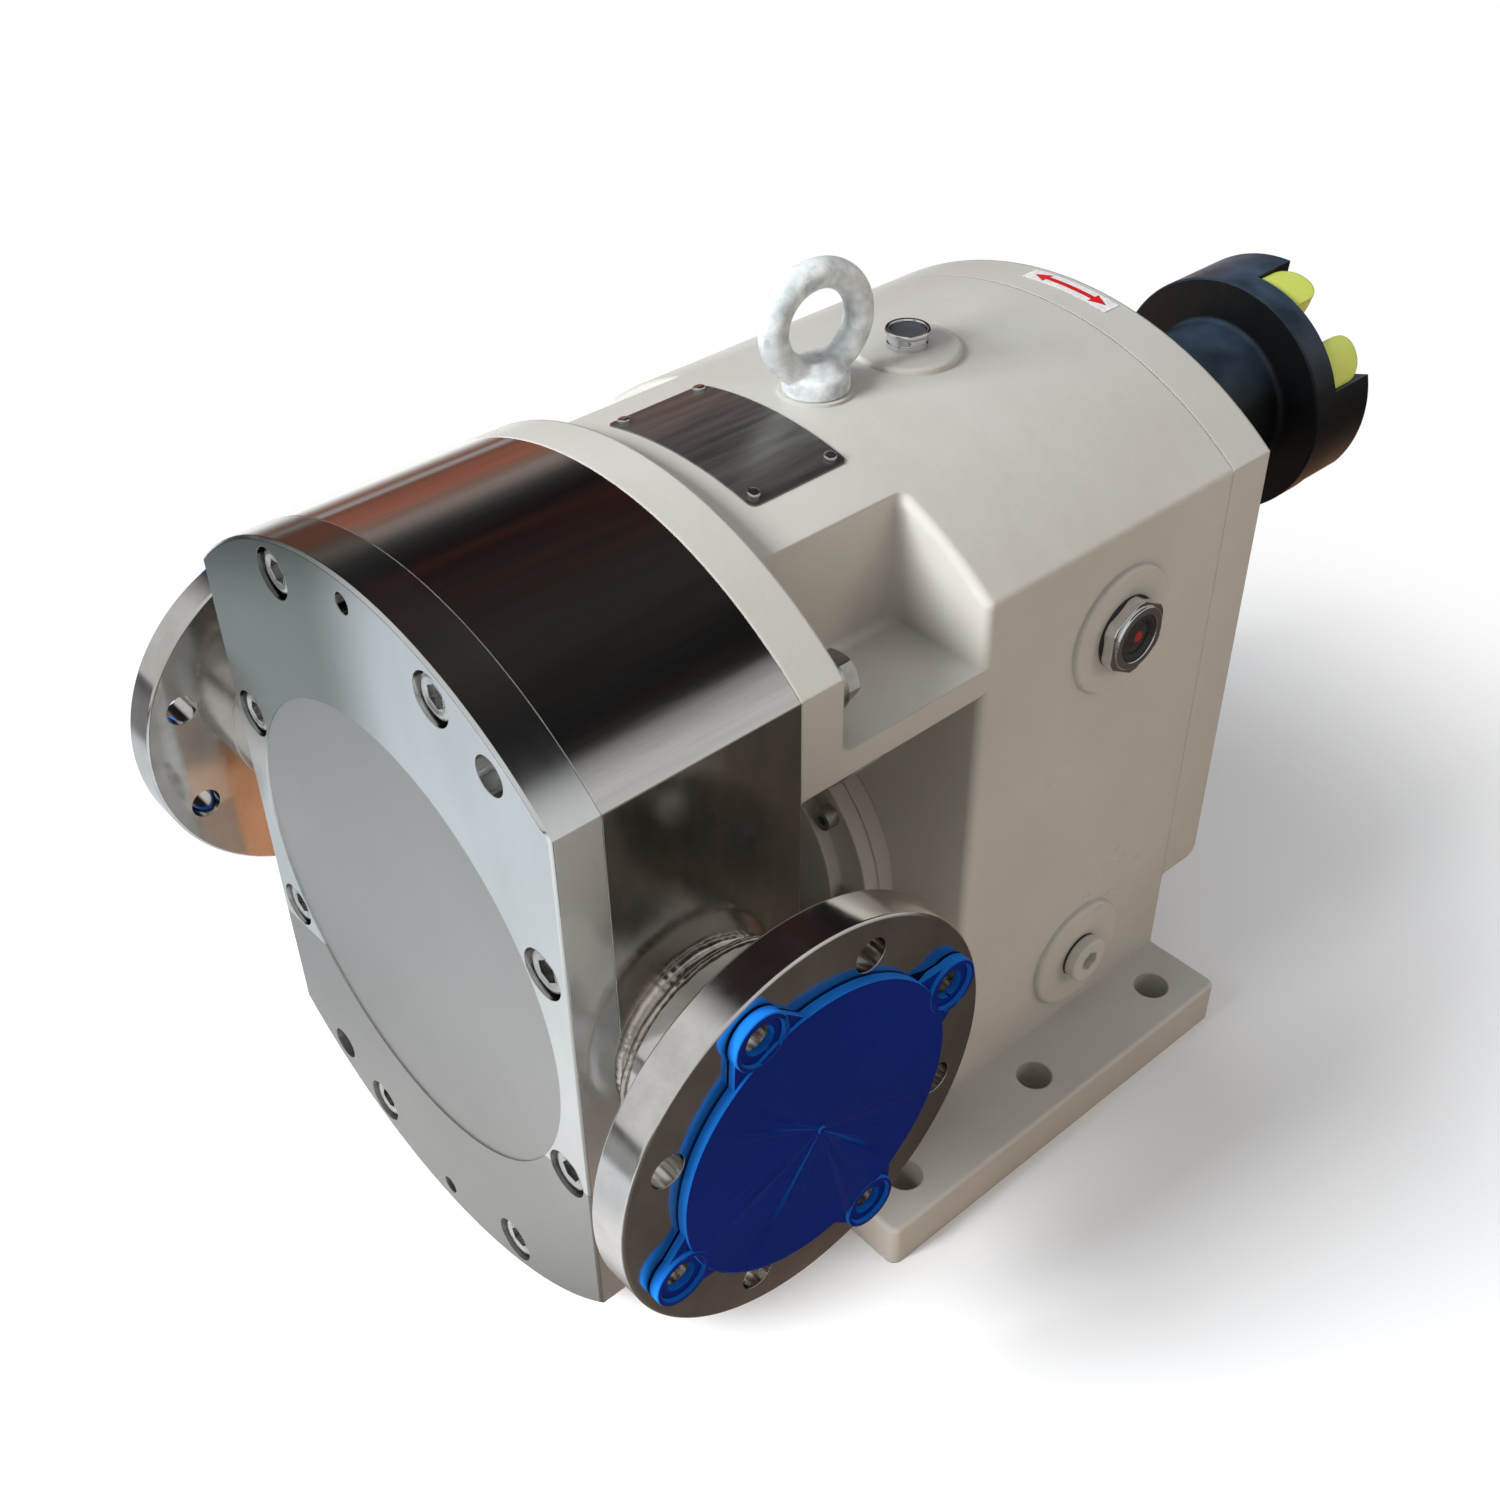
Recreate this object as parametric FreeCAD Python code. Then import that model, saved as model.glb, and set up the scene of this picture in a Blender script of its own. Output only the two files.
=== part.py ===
import FreeCAD, Part
import math
import os

from FreeCAD import Vector

# Rotary lobe pump, in millimetres. X runs from the left port to the right port, Y from
# the front cover to the coupling, Z up. The origin is the middle of the base plate's
# underside. The two shafts lie one above the other, along Y.

# Heights and the shared outline
axis_height = 229.0          # middle of the case above the floor
shaft_spacing = 144.0        # between the two shaft centres
outline_radius = 218.0       # round top and bottom of the case, cover and flange plate
half_width = 148.5           # flat sides of case, cover and gearbox
crown_height = 207.0         # top of the gearbox arch above the middle of the case
arch_radius = 233.2          # round top of the gearbox
drive_z = axis_height + shaft_spacing / 2
driven_z = axis_height - shaft_spacing / 2

# Lengths along the pump, from the base plate forwards and backwards
base_length = 292.0
base_width = 400.0
base_thickness = 30.0
plate_thickness = 26.5       # flange plate of the gearbox
case_length = 113.0
cover_thickness = 26.5
lantern_length = 97.5        # open stretch between flange plate and gearbox
housing_length = 192.5       # cast gearbox behind the lantern
rear_cover_thickness = 32.0
plate_rear = -base_length / 2
plate_front = plate_rear - plate_thickness
case_front = plate_front - case_length
cover_front = case_front - cover_thickness
body_front = plate_rear + lantern_length
body_rear = body_front + housing_length
cover_rear = body_rear + rear_cover_thickness

# Gearbox casting
neck_half_width = 85.0
shelf_thickness = 15.0
window_half_height = 101.0   # lantern window above and below the middle
casting_wall = 16.0
front_wall = 58.5            # wall that carries the front bearings
rear_sill_drop = 39.0        # from the driven shaft down to the opening behind the rear cover
rear_sill_thickness = 20.0
rear_frame_width = 22.0      # rim that the rear cover is screwed to
rear_cover_drop = 67.0       # from the driven shaft down to the rear cover's lower edge
rear_cover_rounding = 8.0
sump_floor = 46.0
base_hole_radius = 11.0
base_hole_side_inset = 26.0
base_hole_end_inset = 33.5
base_corner_radius = 6.0
edge_rounding = 3.0
body_rounding = 5.0
pocket_rounding = 6.0
boss_rounding = 2.5
under_core_drop = 131.0      # from the middle of the case down to the top of the hollow foot
eye_pad_height = 0.6
base_hole_x = base_width / 2 - base_hole_side_inset
base_hole_pitch = base_length / 2 - base_hole_end_inset
rear_sill_height = driven_z - rear_sill_drop
rear_cover_bottom = driven_z - rear_cover_drop
under_core_height = axis_height - under_core_drop

# Pump chamber and rotors
chamber_depth = 92.0
lobes = 3
tip_arc_centre = 68.5        # from the shaft to the centre of a lobe's round tip
rotor_clearance = 0.2        # taken off each rotor's outline
chamber_clearance = 0.35     # between rotor tip and bore
face_clearance = 0.2
rotor_bolt_pocket_radius = 26.0
rotor_bolt_pocket_depth = 14.0
rotor_key_width = 12.0
rotor_key_height = 8.0
rotor_screw_radius = 6.0
rotor_screw_length = 24.0
chamber_back = case_front + chamber_depth
chamber_middle = case_front + chamber_depth / 2
pitch_radius = shaft_spacing / 2
tip_arc_radius = math.sqrt(tip_arc_centre ** 2 + pitch_radius ** 2
                           - 2 * tip_arc_centre * pitch_radius * math.cos(math.pi / (2 * lobes)))
rotor_radius = tip_arc_centre + tip_arc_radius - rotor_clearance
chamber_radius = rotor_radius + chamber_clearance

# Ports: DN100 PN16 flanges on short necks
port_face = 228.5
port_flange_radius = 110.0
port_flange_thickness = 22.0
port_flange_chamfer = 1.2
port_bolt_circle = 90.0
port_bolt_radius = 9.0
port_bolts = 8
port_bolt_phase = 22.5
port_bore_radius = 50.0
port_throat_radius = 40.0
port_straight_bore = 46.0
port_throat_x = 160.0
neck_pipe_radius = 57.0
neck_root_radius = 46.0
neck_root_length = 12.0

# Port caps
cap_radius = 80.0
cap_height = 6.0
cap_wall = 2.0
cap_arm_thickness = 3.0
cap_ear_radius = 15.0
cap_ear_hole = 8.0
cap_ears = 4
cap_spigot_length = 12.0
cap_spigot_play = 0.4
cap_gap = 0.25
cap_rounding = 1.5
cap_nib_radius = 2.2
cap_nib_height = 1.2

# Front cover and its screws
flat_side_inset = 18.5       # of screws and bolts from the flat sides
cover_screw_places = ((half_width - flat_side_inset, 70.0), (67.0, outline_radius - 30.0))
screw_hole_play = 0.75       # round a screw or bolt that passes through
counterbore_radius = 13.5
counterbore_depth = 16.0
cover_screw_radius = 8.0
cover_screw_head_radius = 12.0
cover_screw_head_height = 14.0
cover_screw_length = 42.0
tapped_depth = 34.0
jack_hole_radius = 5.5
jack_hole_z = outline_radius - 14.0
dowel_radius = 10.0
dowel_place = (107.0, 170.0)
dowel_sink = 13.0
dowel_length = 36.0
cover_disc_radius = 133.0
cover_disc_depth = 1.0
cover_chamfer = 1.6
seal_groove_offset = 6.0
seal_groove_width = 5.0
seal_groove_depth = 3.0

# Bolts that hold the case to the flange plate
case_bolt_places = ((half_width - flat_side_inset, 145.0), (45.0, crown_height - 45.0))
case_bolt_radius = 8.0
case_bolt_head_flats = 24.0
case_bolt_head_height = 10.0
hex_chamfer = 0.95           # round top of a hexagon head over its width across flats
washer_radius = 15.0
washer_thickness = 7.0       # plain washer and spring washer together
case_bolt_grip = 16.0        # thread in the case

# Shafts
rotor_seat_radius = 20.0
seal_seat_radius = 26.0
front_seat_radius = 30.0
shoulder_radius = 36.0
gear_seat_radius = 29.0
nut_seat_radius = 27.0
rear_run_radius = 26.0
rear_seat_radius = 25.0
drive_end_radius = 24.0

# Shaft seals in the case wall
seal_housing_radius = 48.0
seal_housing_flange = 60.0
seal_housing_flange_end = 22.0
seal_lip_radius = 31.0
seal_pocket_radius = 38.0
seal_lip_length = 7.0
stationary_ring_length = 8.0
rotating_ring_radius = 36.0
rotating_ring_length = 27.0
seal_face_gap = 0.05

# Bearings and their covers
carrier_bore_radius = 62.0
carrier_flange_radius = 95.0
carrier_flange_thickness = 11.0
carrier_lip = 6.0
bearing_cover_thickness = 11.0
bearing_boss_radius = 75.0
bearing_boss_height = 9.0
cover_spigot_length = 6.5
flat_gap = 0.15
cover_recess = 1.5           # room round the bearing covers in neck and web
cover_screw_room = 11.5
bearing_screw_radius = 4.0
bearing_screw_head_radius = 6.5
bearing_screw_head_height = 8.0
bearing_screw_length = 34.0
bearing_screw_depth = 16.0
bearing_cover_screw_circle = 85.0
bearing_cover_screw_angles = (-40.0, 0.0, 45.0, 90.0, 135.0, 180.0, 220.0)
front_bearing_radius = 55.0
front_bearing_width = 38.0
front_race_inner = 38.0
front_race_outer = 47.0
front_rollers = 10
rear_bearing_radius = 45.0
rear_bearing_width = 28.0
rear_race_inner = 31.0
rear_race_outer = 39.0
rear_rollers = 9
roller_end_gap = 4.0
roller_play = 0.05
oil_seal_radius = 40.0
oil_seal_width = 12.0
rear_seal_radius = 36.0
running_clearance = 0.06
bore_clearance = 1.5
fit_clearance = 0.03

# Rear bearing bosses and caps
rear_boss_radius = 58.0
rear_boss_length = 28.0
boss_play = 0.5
spigot_play = 0.3
rear_bearing_inset = 22.0    # of the rear bearing from the cover's joint
rear_bearing_front = body_rear - rear_bearing_inset
rear_cap_radius = 62.0
rear_cap_thickness = 12.0
rear_cap_screw_circle = 53.0
rear_cap_screws = 6
rear_cap_screw_radius = 3.0
rear_cap_screw_head_radius = 5.0
rear_cap_screw_head_height = 6.0
rear_cap_screw_length = 24.0
rear_cap_screw_depth = 14.0
rear_cap_chamfer = 1.5
rear_cover_screw_radius = 5.0
rear_cover_screw_head_radius = 8.0
rear_cover_screw_head_height = 9.5
rear_cover_screw_length = 37.0
rear_cover_screw_depth = 18.0
rear_cover_counterbore = 11.0
rear_spigot_depth = 10.0
rear_cover_screw_inset = 11.0
rear_cover_side = half_width - rear_cover_screw_inset
rear_cover_foot = shaft_spacing / 2 + rear_sill_drop + 10.0
rear_cover_screw_places = ((rear_cover_side, 135.0), (rear_cover_side, 40.0), (rear_cover_side, -60.0),
                           (71.6, crown_height - 24.4), (60.0, -rear_cover_foot))

# Timing gears
gear_module = 4.0
pressure_angle = math.radians(20.0)
gear_width = 40.0
gear_room = 12.0             # between the bearing wall and the gears
gear_front = body_front + front_wall + gear_room
gear_backlash = 0.16         # at the pitch circle, shared by the two gears
gear_web_inner = 42.0
gear_web_outer = 60.0
gear_web_depth = 10.0
gear_hole_radius = 7.0
gear_holes = 6
gear_key_width = 16.0
gear_key_height = 10.0
nut_radius = 42.0
nut_width = 14.0
nut_slot_width = 8.0
nut_slot_depth = 5.0
gear_teeth = round(shaft_spacing / gear_module)

# Coupling half on the drive shaft
hub_distance = 99.0          # behind the rear cover
hub_length = 68.0
hub_radius = 52.0
coupling_radius = 80.0
coupling_flange_thickness = 20.5
coupling_corner = 4.0
coupling_chamfer = 1.2
jaw_length = 36.0
jaw_inner_radius = 34.0
jaws = 3
jaw_angle = 51.1
jaw_phase = -21.9            # of the first jaw, from straight up towards the right port
spider_thickness = 30.0
spider_bore_radius = 18.0
spider_ring_radius = 33.0
lobe_radius = 77.5
lobe_angle = 23.7            # two lobes stand in each gap, one against each jaw
lobe_width = 31.0
lobe_rounding = 14.0
lobe_play = 0.15
coupling_key_width = 14.0
coupling_key_height = 9.0
coupling_key_length = 72.0
set_screw_radius = 5.0
shaft_end_recess = 2.0
shaft_chamfer = 2.0
key_end_distance = 12.0
hub_front = cover_rear + hub_distance
coupling_flange_front = hub_front + hub_length
jaw_root = coupling_flange_front + coupling_flange_thickness

# Fittings on the gearbox
eye_y = body_front + 24.0
eye_ring_height = 37.0       # centre of the ring above the arch
eye_ring_radius = 26.2
eye_bar_radius = 8.0
eye_collar_radius = 18.1
eye_collar_height = 11.5
eye_collar_rounding = 2.0
eye_shank_radius = 8.0
eye_shank_length = 22.0
eye_turn = 81.0
eye_pad_radius = 20.5
breather_y = body_front + 91.5
breather_radius = 12.6
breather_lip = 1.6
breather_height = 10.0
breather_depth = 6.0
breather_boss_radius = 30.0
breather_boss_height = 2.5
breather_boss_rounding = 2.0
breather_thread_radius = 9.0
breather_thread_length = 20.0
side_fitting_y = body_front + 108.5
sight_z = axis_height + 91.0
sight_boss_radius = 38.0
sight_boss_height = 3.5
sight_flats = 41.0
sight_flange_thickness = 7.0
sight_rim_radius = 18.5
sight_rim_height = 1.5
sight_lens_radius = 14.0
sight_thread_radius = 16.0
sight_thread_length = 14.0
sight_gasket_radius = 21.5
gasket_thickness = 1.5
drain_z = sump_floor + 32.0
drain_boss_radius = 37.0
drain_boss_height = 4.0
drain_head_radius = 15.0
drain_head_height = 7.0
drain_socket_flats = 12.0
drain_thread_radius = 10.0
drain_thread_length = 16.0
nameplate_middle = (2.6, plate_rear + 56.4)
nameplate_size = (111.0, 64.0)
nameplate_turn = 0.6
nameplate_corner = 4.0
nameplate_shank_radius = 1.9
nameplate_thickness = 0.8
nameplate_screw_inset = 6.5
nameplate_screw_radius = 3.6
nameplate_screw_height = 2.4


def rod(radius, start, end, z, x=0.0):
    """A round bar along Y."""
    return Part.makeCylinder(radius, end - start, Vector(x, start, z), Vector(0, 1, 0))


def tube(outer, inner, start, end, z, x=0.0):
    """A ring along Y."""
    return rod(outer, start, end, z, x).cut(rod(inner, start - 1, end + 1, z, x))


def cross_rod(radius, start, end, y, z):
    """A round bar along X."""
    return Part.makeCylinder(radius, end - start, Vector(start, y, z), Vector(1, 0, 0))


def block(x0, x1, y0, y1, z0, z1):
    return Part.makeBox(x1 - x0, y1 - y0, z1 - z0, Vector(x0, y0, z0))


def hexagon(flats, length, base, axis):
    """A hexagonal prism of the given width across flats."""
    corner = flats / math.sqrt(3)
    points = [Vector(corner * math.cos(math.radians(60 * k)), corner * math.sin(math.radians(60 * k)), 0)
              for k in range(7)]
    prism = Part.Face(Part.makePolygon(points)).extrude(Vector(0, 0, length))
    prism.Placement = FreeCAD.Placement(base, FreeCAD.Rotation(Vector(0, 0, 1), axis))
    return prism


def fused(shapes):
    first = shapes[0]
    if len(shapes) == 1:
        return first
    return first.fuse(shapes[1:]).removeSplitter()


def mirrored_places(places):
    """Each place in all four quarters about the middle of the case."""
    return [(sx * x, axis_height + sz * z) for x, z in places for sx in (-1, 1) for sz in (-1, 1)]


def full_outline(start, end):
    """The outline of case, cover and flange plate: round top and bottom, flat sides."""
    half_flat = math.sqrt(outline_radius ** 2 - half_width ** 2)
    top, bottom = axis_height + half_flat, axis_height - half_flat
    upper = Part.Arc(Vector(-half_width, start, top), Vector(0, start, axis_height + outline_radius),
                     Vector(half_width, start, top)).toShape()
    right = Part.makeLine(Vector(half_width, start, top), Vector(half_width, start, bottom))
    lower = Part.Arc(Vector(half_width, start, bottom), Vector(0, start, axis_height - outline_radius),
                     Vector(-half_width, start, bottom)).toShape()
    left = Part.makeLine(Vector(-half_width, start, bottom), Vector(-half_width, start, top))
    return Part.Face(Part.Wire([upper, right, lower, left])).extrude(Vector(0, end - start, 0))


def arch_top(x):
    """Height of the gearbox arch over x."""
    return axis_height + crown_height - arch_radius + math.sqrt(arch_radius ** 2 - x ** 2)


def arch_block(start, end, bottom, inset=0.0):
    """The gearbox outline down to a flat bottom, with an equal wall taken off all round."""
    half = half_width - inset
    radius = arch_radius - inset
    centre = axis_height + crown_height - arch_radius
    shoulder = centre + math.sqrt(radius ** 2 - half ** 2)
    upper = Part.Arc(Vector(-half, start, shoulder), Vector(0, start, centre + radius),
                     Vector(half, start, shoulder)).toShape()
    corners = [Vector(half, start, shoulder), Vector(half, start, bottom),
               Vector(-half, start, bottom), Vector(-half, start, shoulder)]
    sides = [Part.makeLine(a, b) for a, b in zip(corners, corners[1:])]
    return Part.Face(Part.Wire([upper] + sides)).extrude(Vector(0, end - start, 0))


def edges_where(shape, keep):
    """Edges whose middle point passes the test."""
    found = []
    for edge in shape.Edges:
        middle = edge.valueAt((edge.FirstParameter + edge.LastParameter) / 2)
        if keep(edge, middle):
            found.append(edge)
    return found


def two_discs(radius, start, end):
    """The two shaft circles joined into one flat figure of eight."""
    return fused([rod(radius, start, end, drive_z), rod(radius, start, end, driven_z)])


# Gearbox casting

def base_plate():
    half = base_width / 2
    plate = block(-half, half, -base_length / 2, base_length / 2, 0, base_thickness)
    corners = edges_where(plate, lambda e, m: abs(abs(m.x) - half) < 0.1 and m.z == base_thickness / 2)
    plate = plate.makeFillet(base_corner_radius, corners)
    rim = edges_where(plate, lambda e, m: abs(m.z - base_thickness) < 0.1)
    return plate.makeFillet(edge_rounding, rim)


def lantern():
    """Neck, shelves and lower web that join the flange plate to the gearbox."""
    shelf_bottom = axis_height + window_half_height
    lower_top = axis_height - window_half_height
    joint_end = body_front + body_rounding + 1
    neck = arch_block(plate_rear, joint_end, shelf_bottom)
    shelf_top = shelf_bottom + shelf_thickness
    for side in (-1, 1):
        x0, x1 = sorted((side * neck_half_width, side * (half_width + 1)))
        neck = neck.cut(block(x0, x1, plate_rear, joint_end, shelf_top, axis_height + outline_radius))
    core_half = neck_half_width - casting_wall
    core_top = arch_top(core_half) - casting_wall
    neck = neck.cut(block(-core_half, core_half, plate_rear, body_front, shelf_bottom, core_top))
    lower_shelf = block(-half_width, half_width, plate_rear, joint_end,
                        lower_top - shelf_thickness, lower_top)
    web = block(-neck_half_width, neck_half_width, plate_rear, body_front, 0, lower_top)
    return neck, lower_shelf, web


def gearbox_body():
    """The closed part of the gearbox, with its front and upper side edges rounded."""
    body = arch_block(body_front, body_rear, 0)

    def rounded(edge, middle):
        along = abs(edge.tangentAt(edge.FirstParameter).y) > 0.9
        front = abs(middle.y - body_front) < 0.1 and middle.z > base_thickness
        return front or (along and middle.z > axis_height)

    return body.makeFillet(body_rounding, edges_where(body, rounded))


def round_boss(radius, start, end, y, z):
    """A boss on the right side whose rim is rounded."""
    boss = cross_rod(radius, start, end, y, z)
    return boss.makeFillet(boss_rounding, edges_where(boss, lambda e, m: abs(m.x - end) < 0.1))


def gearbox_housing():
    core_half = neck_half_width - casting_wall
    under_core = block(-core_half, core_half, plate_rear, body_front - casting_wall, -1, under_core_height)
    window = block(-base_width, base_width, plate_front - 1, plate_rear,
                   axis_height - window_half_height, axis_height + window_half_height)
    plate = full_outline(plate_front, plate_rear).cut(window)
    crown = axis_height + crown_height
    eye_pad = Part.makeCylinder(eye_pad_radius, casting_wall + eye_pad_height,
                                Vector(0, eye_y, crown - casting_wall))
    breather_boss = Part.makeCylinder(breather_boss_radius, casting_wall + breather_boss_height,
                                      Vector(0, breather_y, crown - casting_wall))
    boss_top = crown + breather_boss_height
    breather_boss = breather_boss.makeFillet(breather_boss_rounding, edges_where(
        breather_boss, lambda e, m: abs(m.z - boss_top) < 0.1))
    sight_boss = round_boss(sight_boss_radius, half_width - casting_wall,
                            half_width + sight_boss_height, side_fitting_y, sight_z)
    drain_boss = round_boss(drain_boss_radius, half_width - casting_wall,
                            half_width + drain_boss_height, side_fitting_y, drain_z)
    solid = fused([gearbox_body(), plate, *lantern(), base_plate(), eye_pad, breather_boss, sight_boss,
                   drain_boss])
    solid = solid.cut(under_core)
    solid = solid.makeFillet(pocket_rounding, edges_where(solid, pocket_edge))

    cavity_front = body_front + front_wall
    recess_front = body_front - carrier_flange_thickness - bearing_cover_thickness - cover_screw_room
    sill_front = body_rear - rear_sill_thickness
    cuts = [arch_block(cavity_front, sill_front, sump_floor, casting_wall),
            arch_block(sill_front - 1, body_rear + 1, rear_sill_height, rear_frame_width)]
    for z in (drive_z, driven_z):
        cuts.append(rod(seal_housing_flange + bore_clearance, plate_front - 1, plate_rear + 1, z))
        cuts.append(rod(carrier_bore_radius, body_front - 1, cavity_front + 1, z))
        cuts.append(rod(carrier_flange_radius + cover_recess, recess_front, body_front, z))
        cuts.append(rod(rear_boss_radius + boss_play, body_rear - rear_boss_length, body_rear + 1, z))
        for x, dz in bearing_screw_offsets(z):
            cuts.append(rod(bearing_screw_radius, body_front - 1, body_front + bearing_screw_depth,
                            z + dz, x))
    for x in (-base_hole_x, base_hole_x):
        for y in (-base_hole_pitch, 0, base_hole_pitch):
            cuts.append(Part.makeCylinder(base_hole_radius, base_thickness + 2, Vector(x, y, -1)))
    for x, z in mirrored_places(case_bolt_places):
        cuts.append(rod(case_bolt_radius + screw_hole_play, plate_front - 1, plate_rear + 1, z, x))
    for x, z in rear_cover_screw_offsets():
        cuts.append(rod(rear_cover_screw_radius, body_rear - rear_cover_screw_depth, body_rear + 1, z, x))
    cuts.append(Part.makeCylinder(eye_shank_radius + fit_clearance, eye_shank_length + 4,
                                  Vector(0, eye_y, crown - eye_shank_length - 2)))
    cuts.append(Part.makeCylinder(breather_thread_radius + fit_clearance, casting_wall * 3,
                                  Vector(0, breather_y, crown - 2 * casting_wall)))
    cuts.append(cross_rod(sight_thread_radius + fit_clearance, half_width - 2 * casting_wall,
                          half_width + sight_boss_height + 1, side_fitting_y, sight_z))
    cuts.append(cross_rod(drain_thread_radius + fit_clearance, half_width - 2 * casting_wall,
                          half_width + drain_boss_height + 1, side_fitting_y, drain_z))
    for x, y in nameplate_screw_places():
        cuts.append(Part.makeCylinder(nameplate_shank_radius + fit_clearance, 10.0,
                                      Vector(x, y, arch_top(x) - 8)))
    return solid.cut(cuts)


def pocket_edge(edge, middle):
    """Inner corners of the pockets above the shelves, but for the one along the body's foot."""
    upright = abs(abs(middle.x) - neck_half_width) < 0.1
    shelf_top = axis_height + window_half_height + shelf_thickness
    in_lantern = plate_rear - 0.1 < middle.y < body_front + 0.1
    wall_end = abs(middle.y - body_front) < 0.1 or abs(middle.y - plate_rear) < 0.1
    tall = edge.Length > 40 and abs(edge.tangentAt(edge.FirstParameter).z) > 0.9
    if upright and tall and wall_end and middle.z > shelf_top:
        return True
    on_shelf = abs(middle.z - shelf_top) < 0.1 and in_lantern
    at_body = abs(middle.y - body_front) < 0.1
    return on_shelf and not at_body and neck_half_width - 0.1 < abs(middle.x) < half_width - 0.1


def rear_cover_screw_offsets():
    return [(side * x, axis_height + z) for x, z in rear_cover_screw_places for side in (-1, 1)]


def rear_cover():
    plate = arch_block(body_rear, cover_rear, rear_cover_bottom)
    lower = edges_where(plate, lambda e, m: abs(m.z - rear_cover_bottom) < 0.1 and m.y > cover_rear - 0.1)
    plate = plate.makeFillet(rear_cover_rounding, lower)
    spigot = arch_block(body_rear - rear_spigot_depth, body_rear, rear_sill_height + spigot_play,
                        rear_frame_width + spigot_play)
    bosses = [rod(rear_boss_radius, body_rear - rear_boss_length, body_rear, z) for z in (drive_z, driven_z)]
    solid = fused([plate, spigot, *bosses])
    cuts = [rod(rear_bearing_radius, body_rear - rear_boss_length - 1, cover_rear + 1, z)
            for z in (drive_z, driven_z)]
    for x, z in rear_cover_screw_offsets():
        cuts.append(rod(rear_cover_screw_radius + boss_play, body_rear - rear_spigot_depth - 1,
                        cover_rear + 1, z, x))
        cuts.append(rod(rear_cover_screw_head_radius + 1, cover_rear - rear_cover_counterbore,
                        cover_rear + 1, z, x))
    for x, z in rear_cap_screw_places():
        cuts.append(rod(rear_cap_screw_radius, cover_rear - rear_cap_screw_depth, cover_rear + 1, z, x))
    return solid.cut(cuts)


def socket_screw(shank_radius, head_radius, head_height, length, seat, z, x, towards=-1):
    """A cap screw along Y whose head sits on the seat and points forwards (-1) or back (1)."""
    socket_flats = head_radius * 0.95
    axis = Vector(0, towards, 0)
    head = Part.makeCylinder(head_radius, head_height, Vector(x, seat, z), axis)
    head = head.cut(hexagon(socket_flats, head_height * 0.6 + 1,
                            Vector(x, seat + towards * (head_height * 0.4), z), axis))
    shank = Part.makeCylinder(shank_radius, length, Vector(x, seat, z), Vector(0, -towards, 0))
    return head.fuse(shank).removeSplitter()


def rear_cover_screws():
    return [socket_screw(rear_cover_screw_radius - fit_clearance, rear_cover_screw_head_radius,
                         rear_cover_screw_head_height, rear_cover_screw_length,
                         cover_rear - rear_cover_counterbore, z, x, 1)
            for x, z in rear_cover_screw_offsets()]


def rear_cap_screw_places():
    step = 2 * math.pi / rear_cap_screws
    return [(rear_cap_screw_circle * math.cos(step * k), z + rear_cap_screw_circle * math.sin(step * k))
            for z in (drive_z, driven_z) for k in range(rear_cap_screws)]


def rear_cap(z, shaft_passes):
    """Round cap behind a rear bearing; the drive shaft's cap has a hole and an oil seal."""
    end = cover_rear + rear_cap_thickness
    cap = fused([rod(rear_cap_radius, cover_rear, end, z),
                 rod(rear_bearing_radius - fit_clearance, rear_bearing_front + rear_bearing_width,
                     cover_rear, z)])
    cap = cap.makeChamfer(rear_cap_chamfer, edges_where(cap, lambda e, m: abs(m.y - end) < 0.1))
    cuts = [rod(rear_seal_radius, rear_bearing_front, cover_rear - 4, z)]
    if shaft_passes:
        cuts.append(rod(drive_end_radius + bore_clearance, rear_bearing_front, end + 1, z))
        cuts.append(rod(rear_seal_radius, end - oil_seal_width, end + 1, z))
    step = 2 * math.pi / rear_cap_screws
    for k in range(rear_cap_screws):
        x = rear_cap_screw_circle * math.cos(step * k)
        dz = rear_cap_screw_circle * math.sin(step * k)
        cuts.append(rod(rear_cap_screw_radius + spigot_play, cover_rear - 1, end + 1, z + dz, x))
    return cap.cut(cuts)


def rear_cap_screws_set():
    seat = cover_rear + rear_cap_thickness
    return [socket_screw(rear_cap_screw_radius - fit_clearance, rear_cap_screw_head_radius,
                         rear_cap_screw_head_height, rear_cap_screw_length, seat, z, x, 1)
            for x, z in rear_cap_screw_places()]


# Bearing carriers and covers in the lantern

def bearing_screw_offsets(z):
    """Screw places round one bearing cover; the flat side faces the other shaft."""
    side = 1 if z > axis_height else -1
    places = []
    for angle in bearing_cover_screw_angles:
        turn = math.radians(angle)
        places.append((bearing_cover_screw_circle * math.cos(turn),
                       side * bearing_cover_screw_circle * math.sin(turn)))
    return places


def trimmed_disc(radius, start, end, z):
    """A disc cut flat where it meets the one of the other shaft."""
    disc = rod(radius, start, end, z)
    half = radius + 1
    if z > axis_height:
        return disc.cut(block(-half, half, start - 1, end + 1, z - half, axis_height + flat_gap))
    return disc.cut(block(-half, half, start - 1, end + 1, axis_height - flat_gap, z + half))


def bearing_carrier(z):
    """Flanged sleeve that holds a front bearing in the gearbox wall."""
    flange_front = body_front - carrier_flange_thickness
    bearing_end = body_front + cover_spigot_length + front_bearing_width
    sleeve = rod(carrier_bore_radius - fit_clearance, body_front, bearing_end + carrier_lip, z)
    solid = fused([trimmed_disc(carrier_flange_radius, flange_front, body_front, z), sleeve])
    cuts = [rod(front_bearing_radius, flange_front - 1, bearing_end, z),
            rod(front_race_outer + 2, bearing_end - 1, bearing_end + carrier_lip + 1, z)]
    for x, dz in bearing_screw_offsets(z):
        cuts.append(rod(bearing_screw_radius + boss_play, flange_front - 1, body_front + 1, z + dz, x))
    return solid.cut(cuts)


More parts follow.
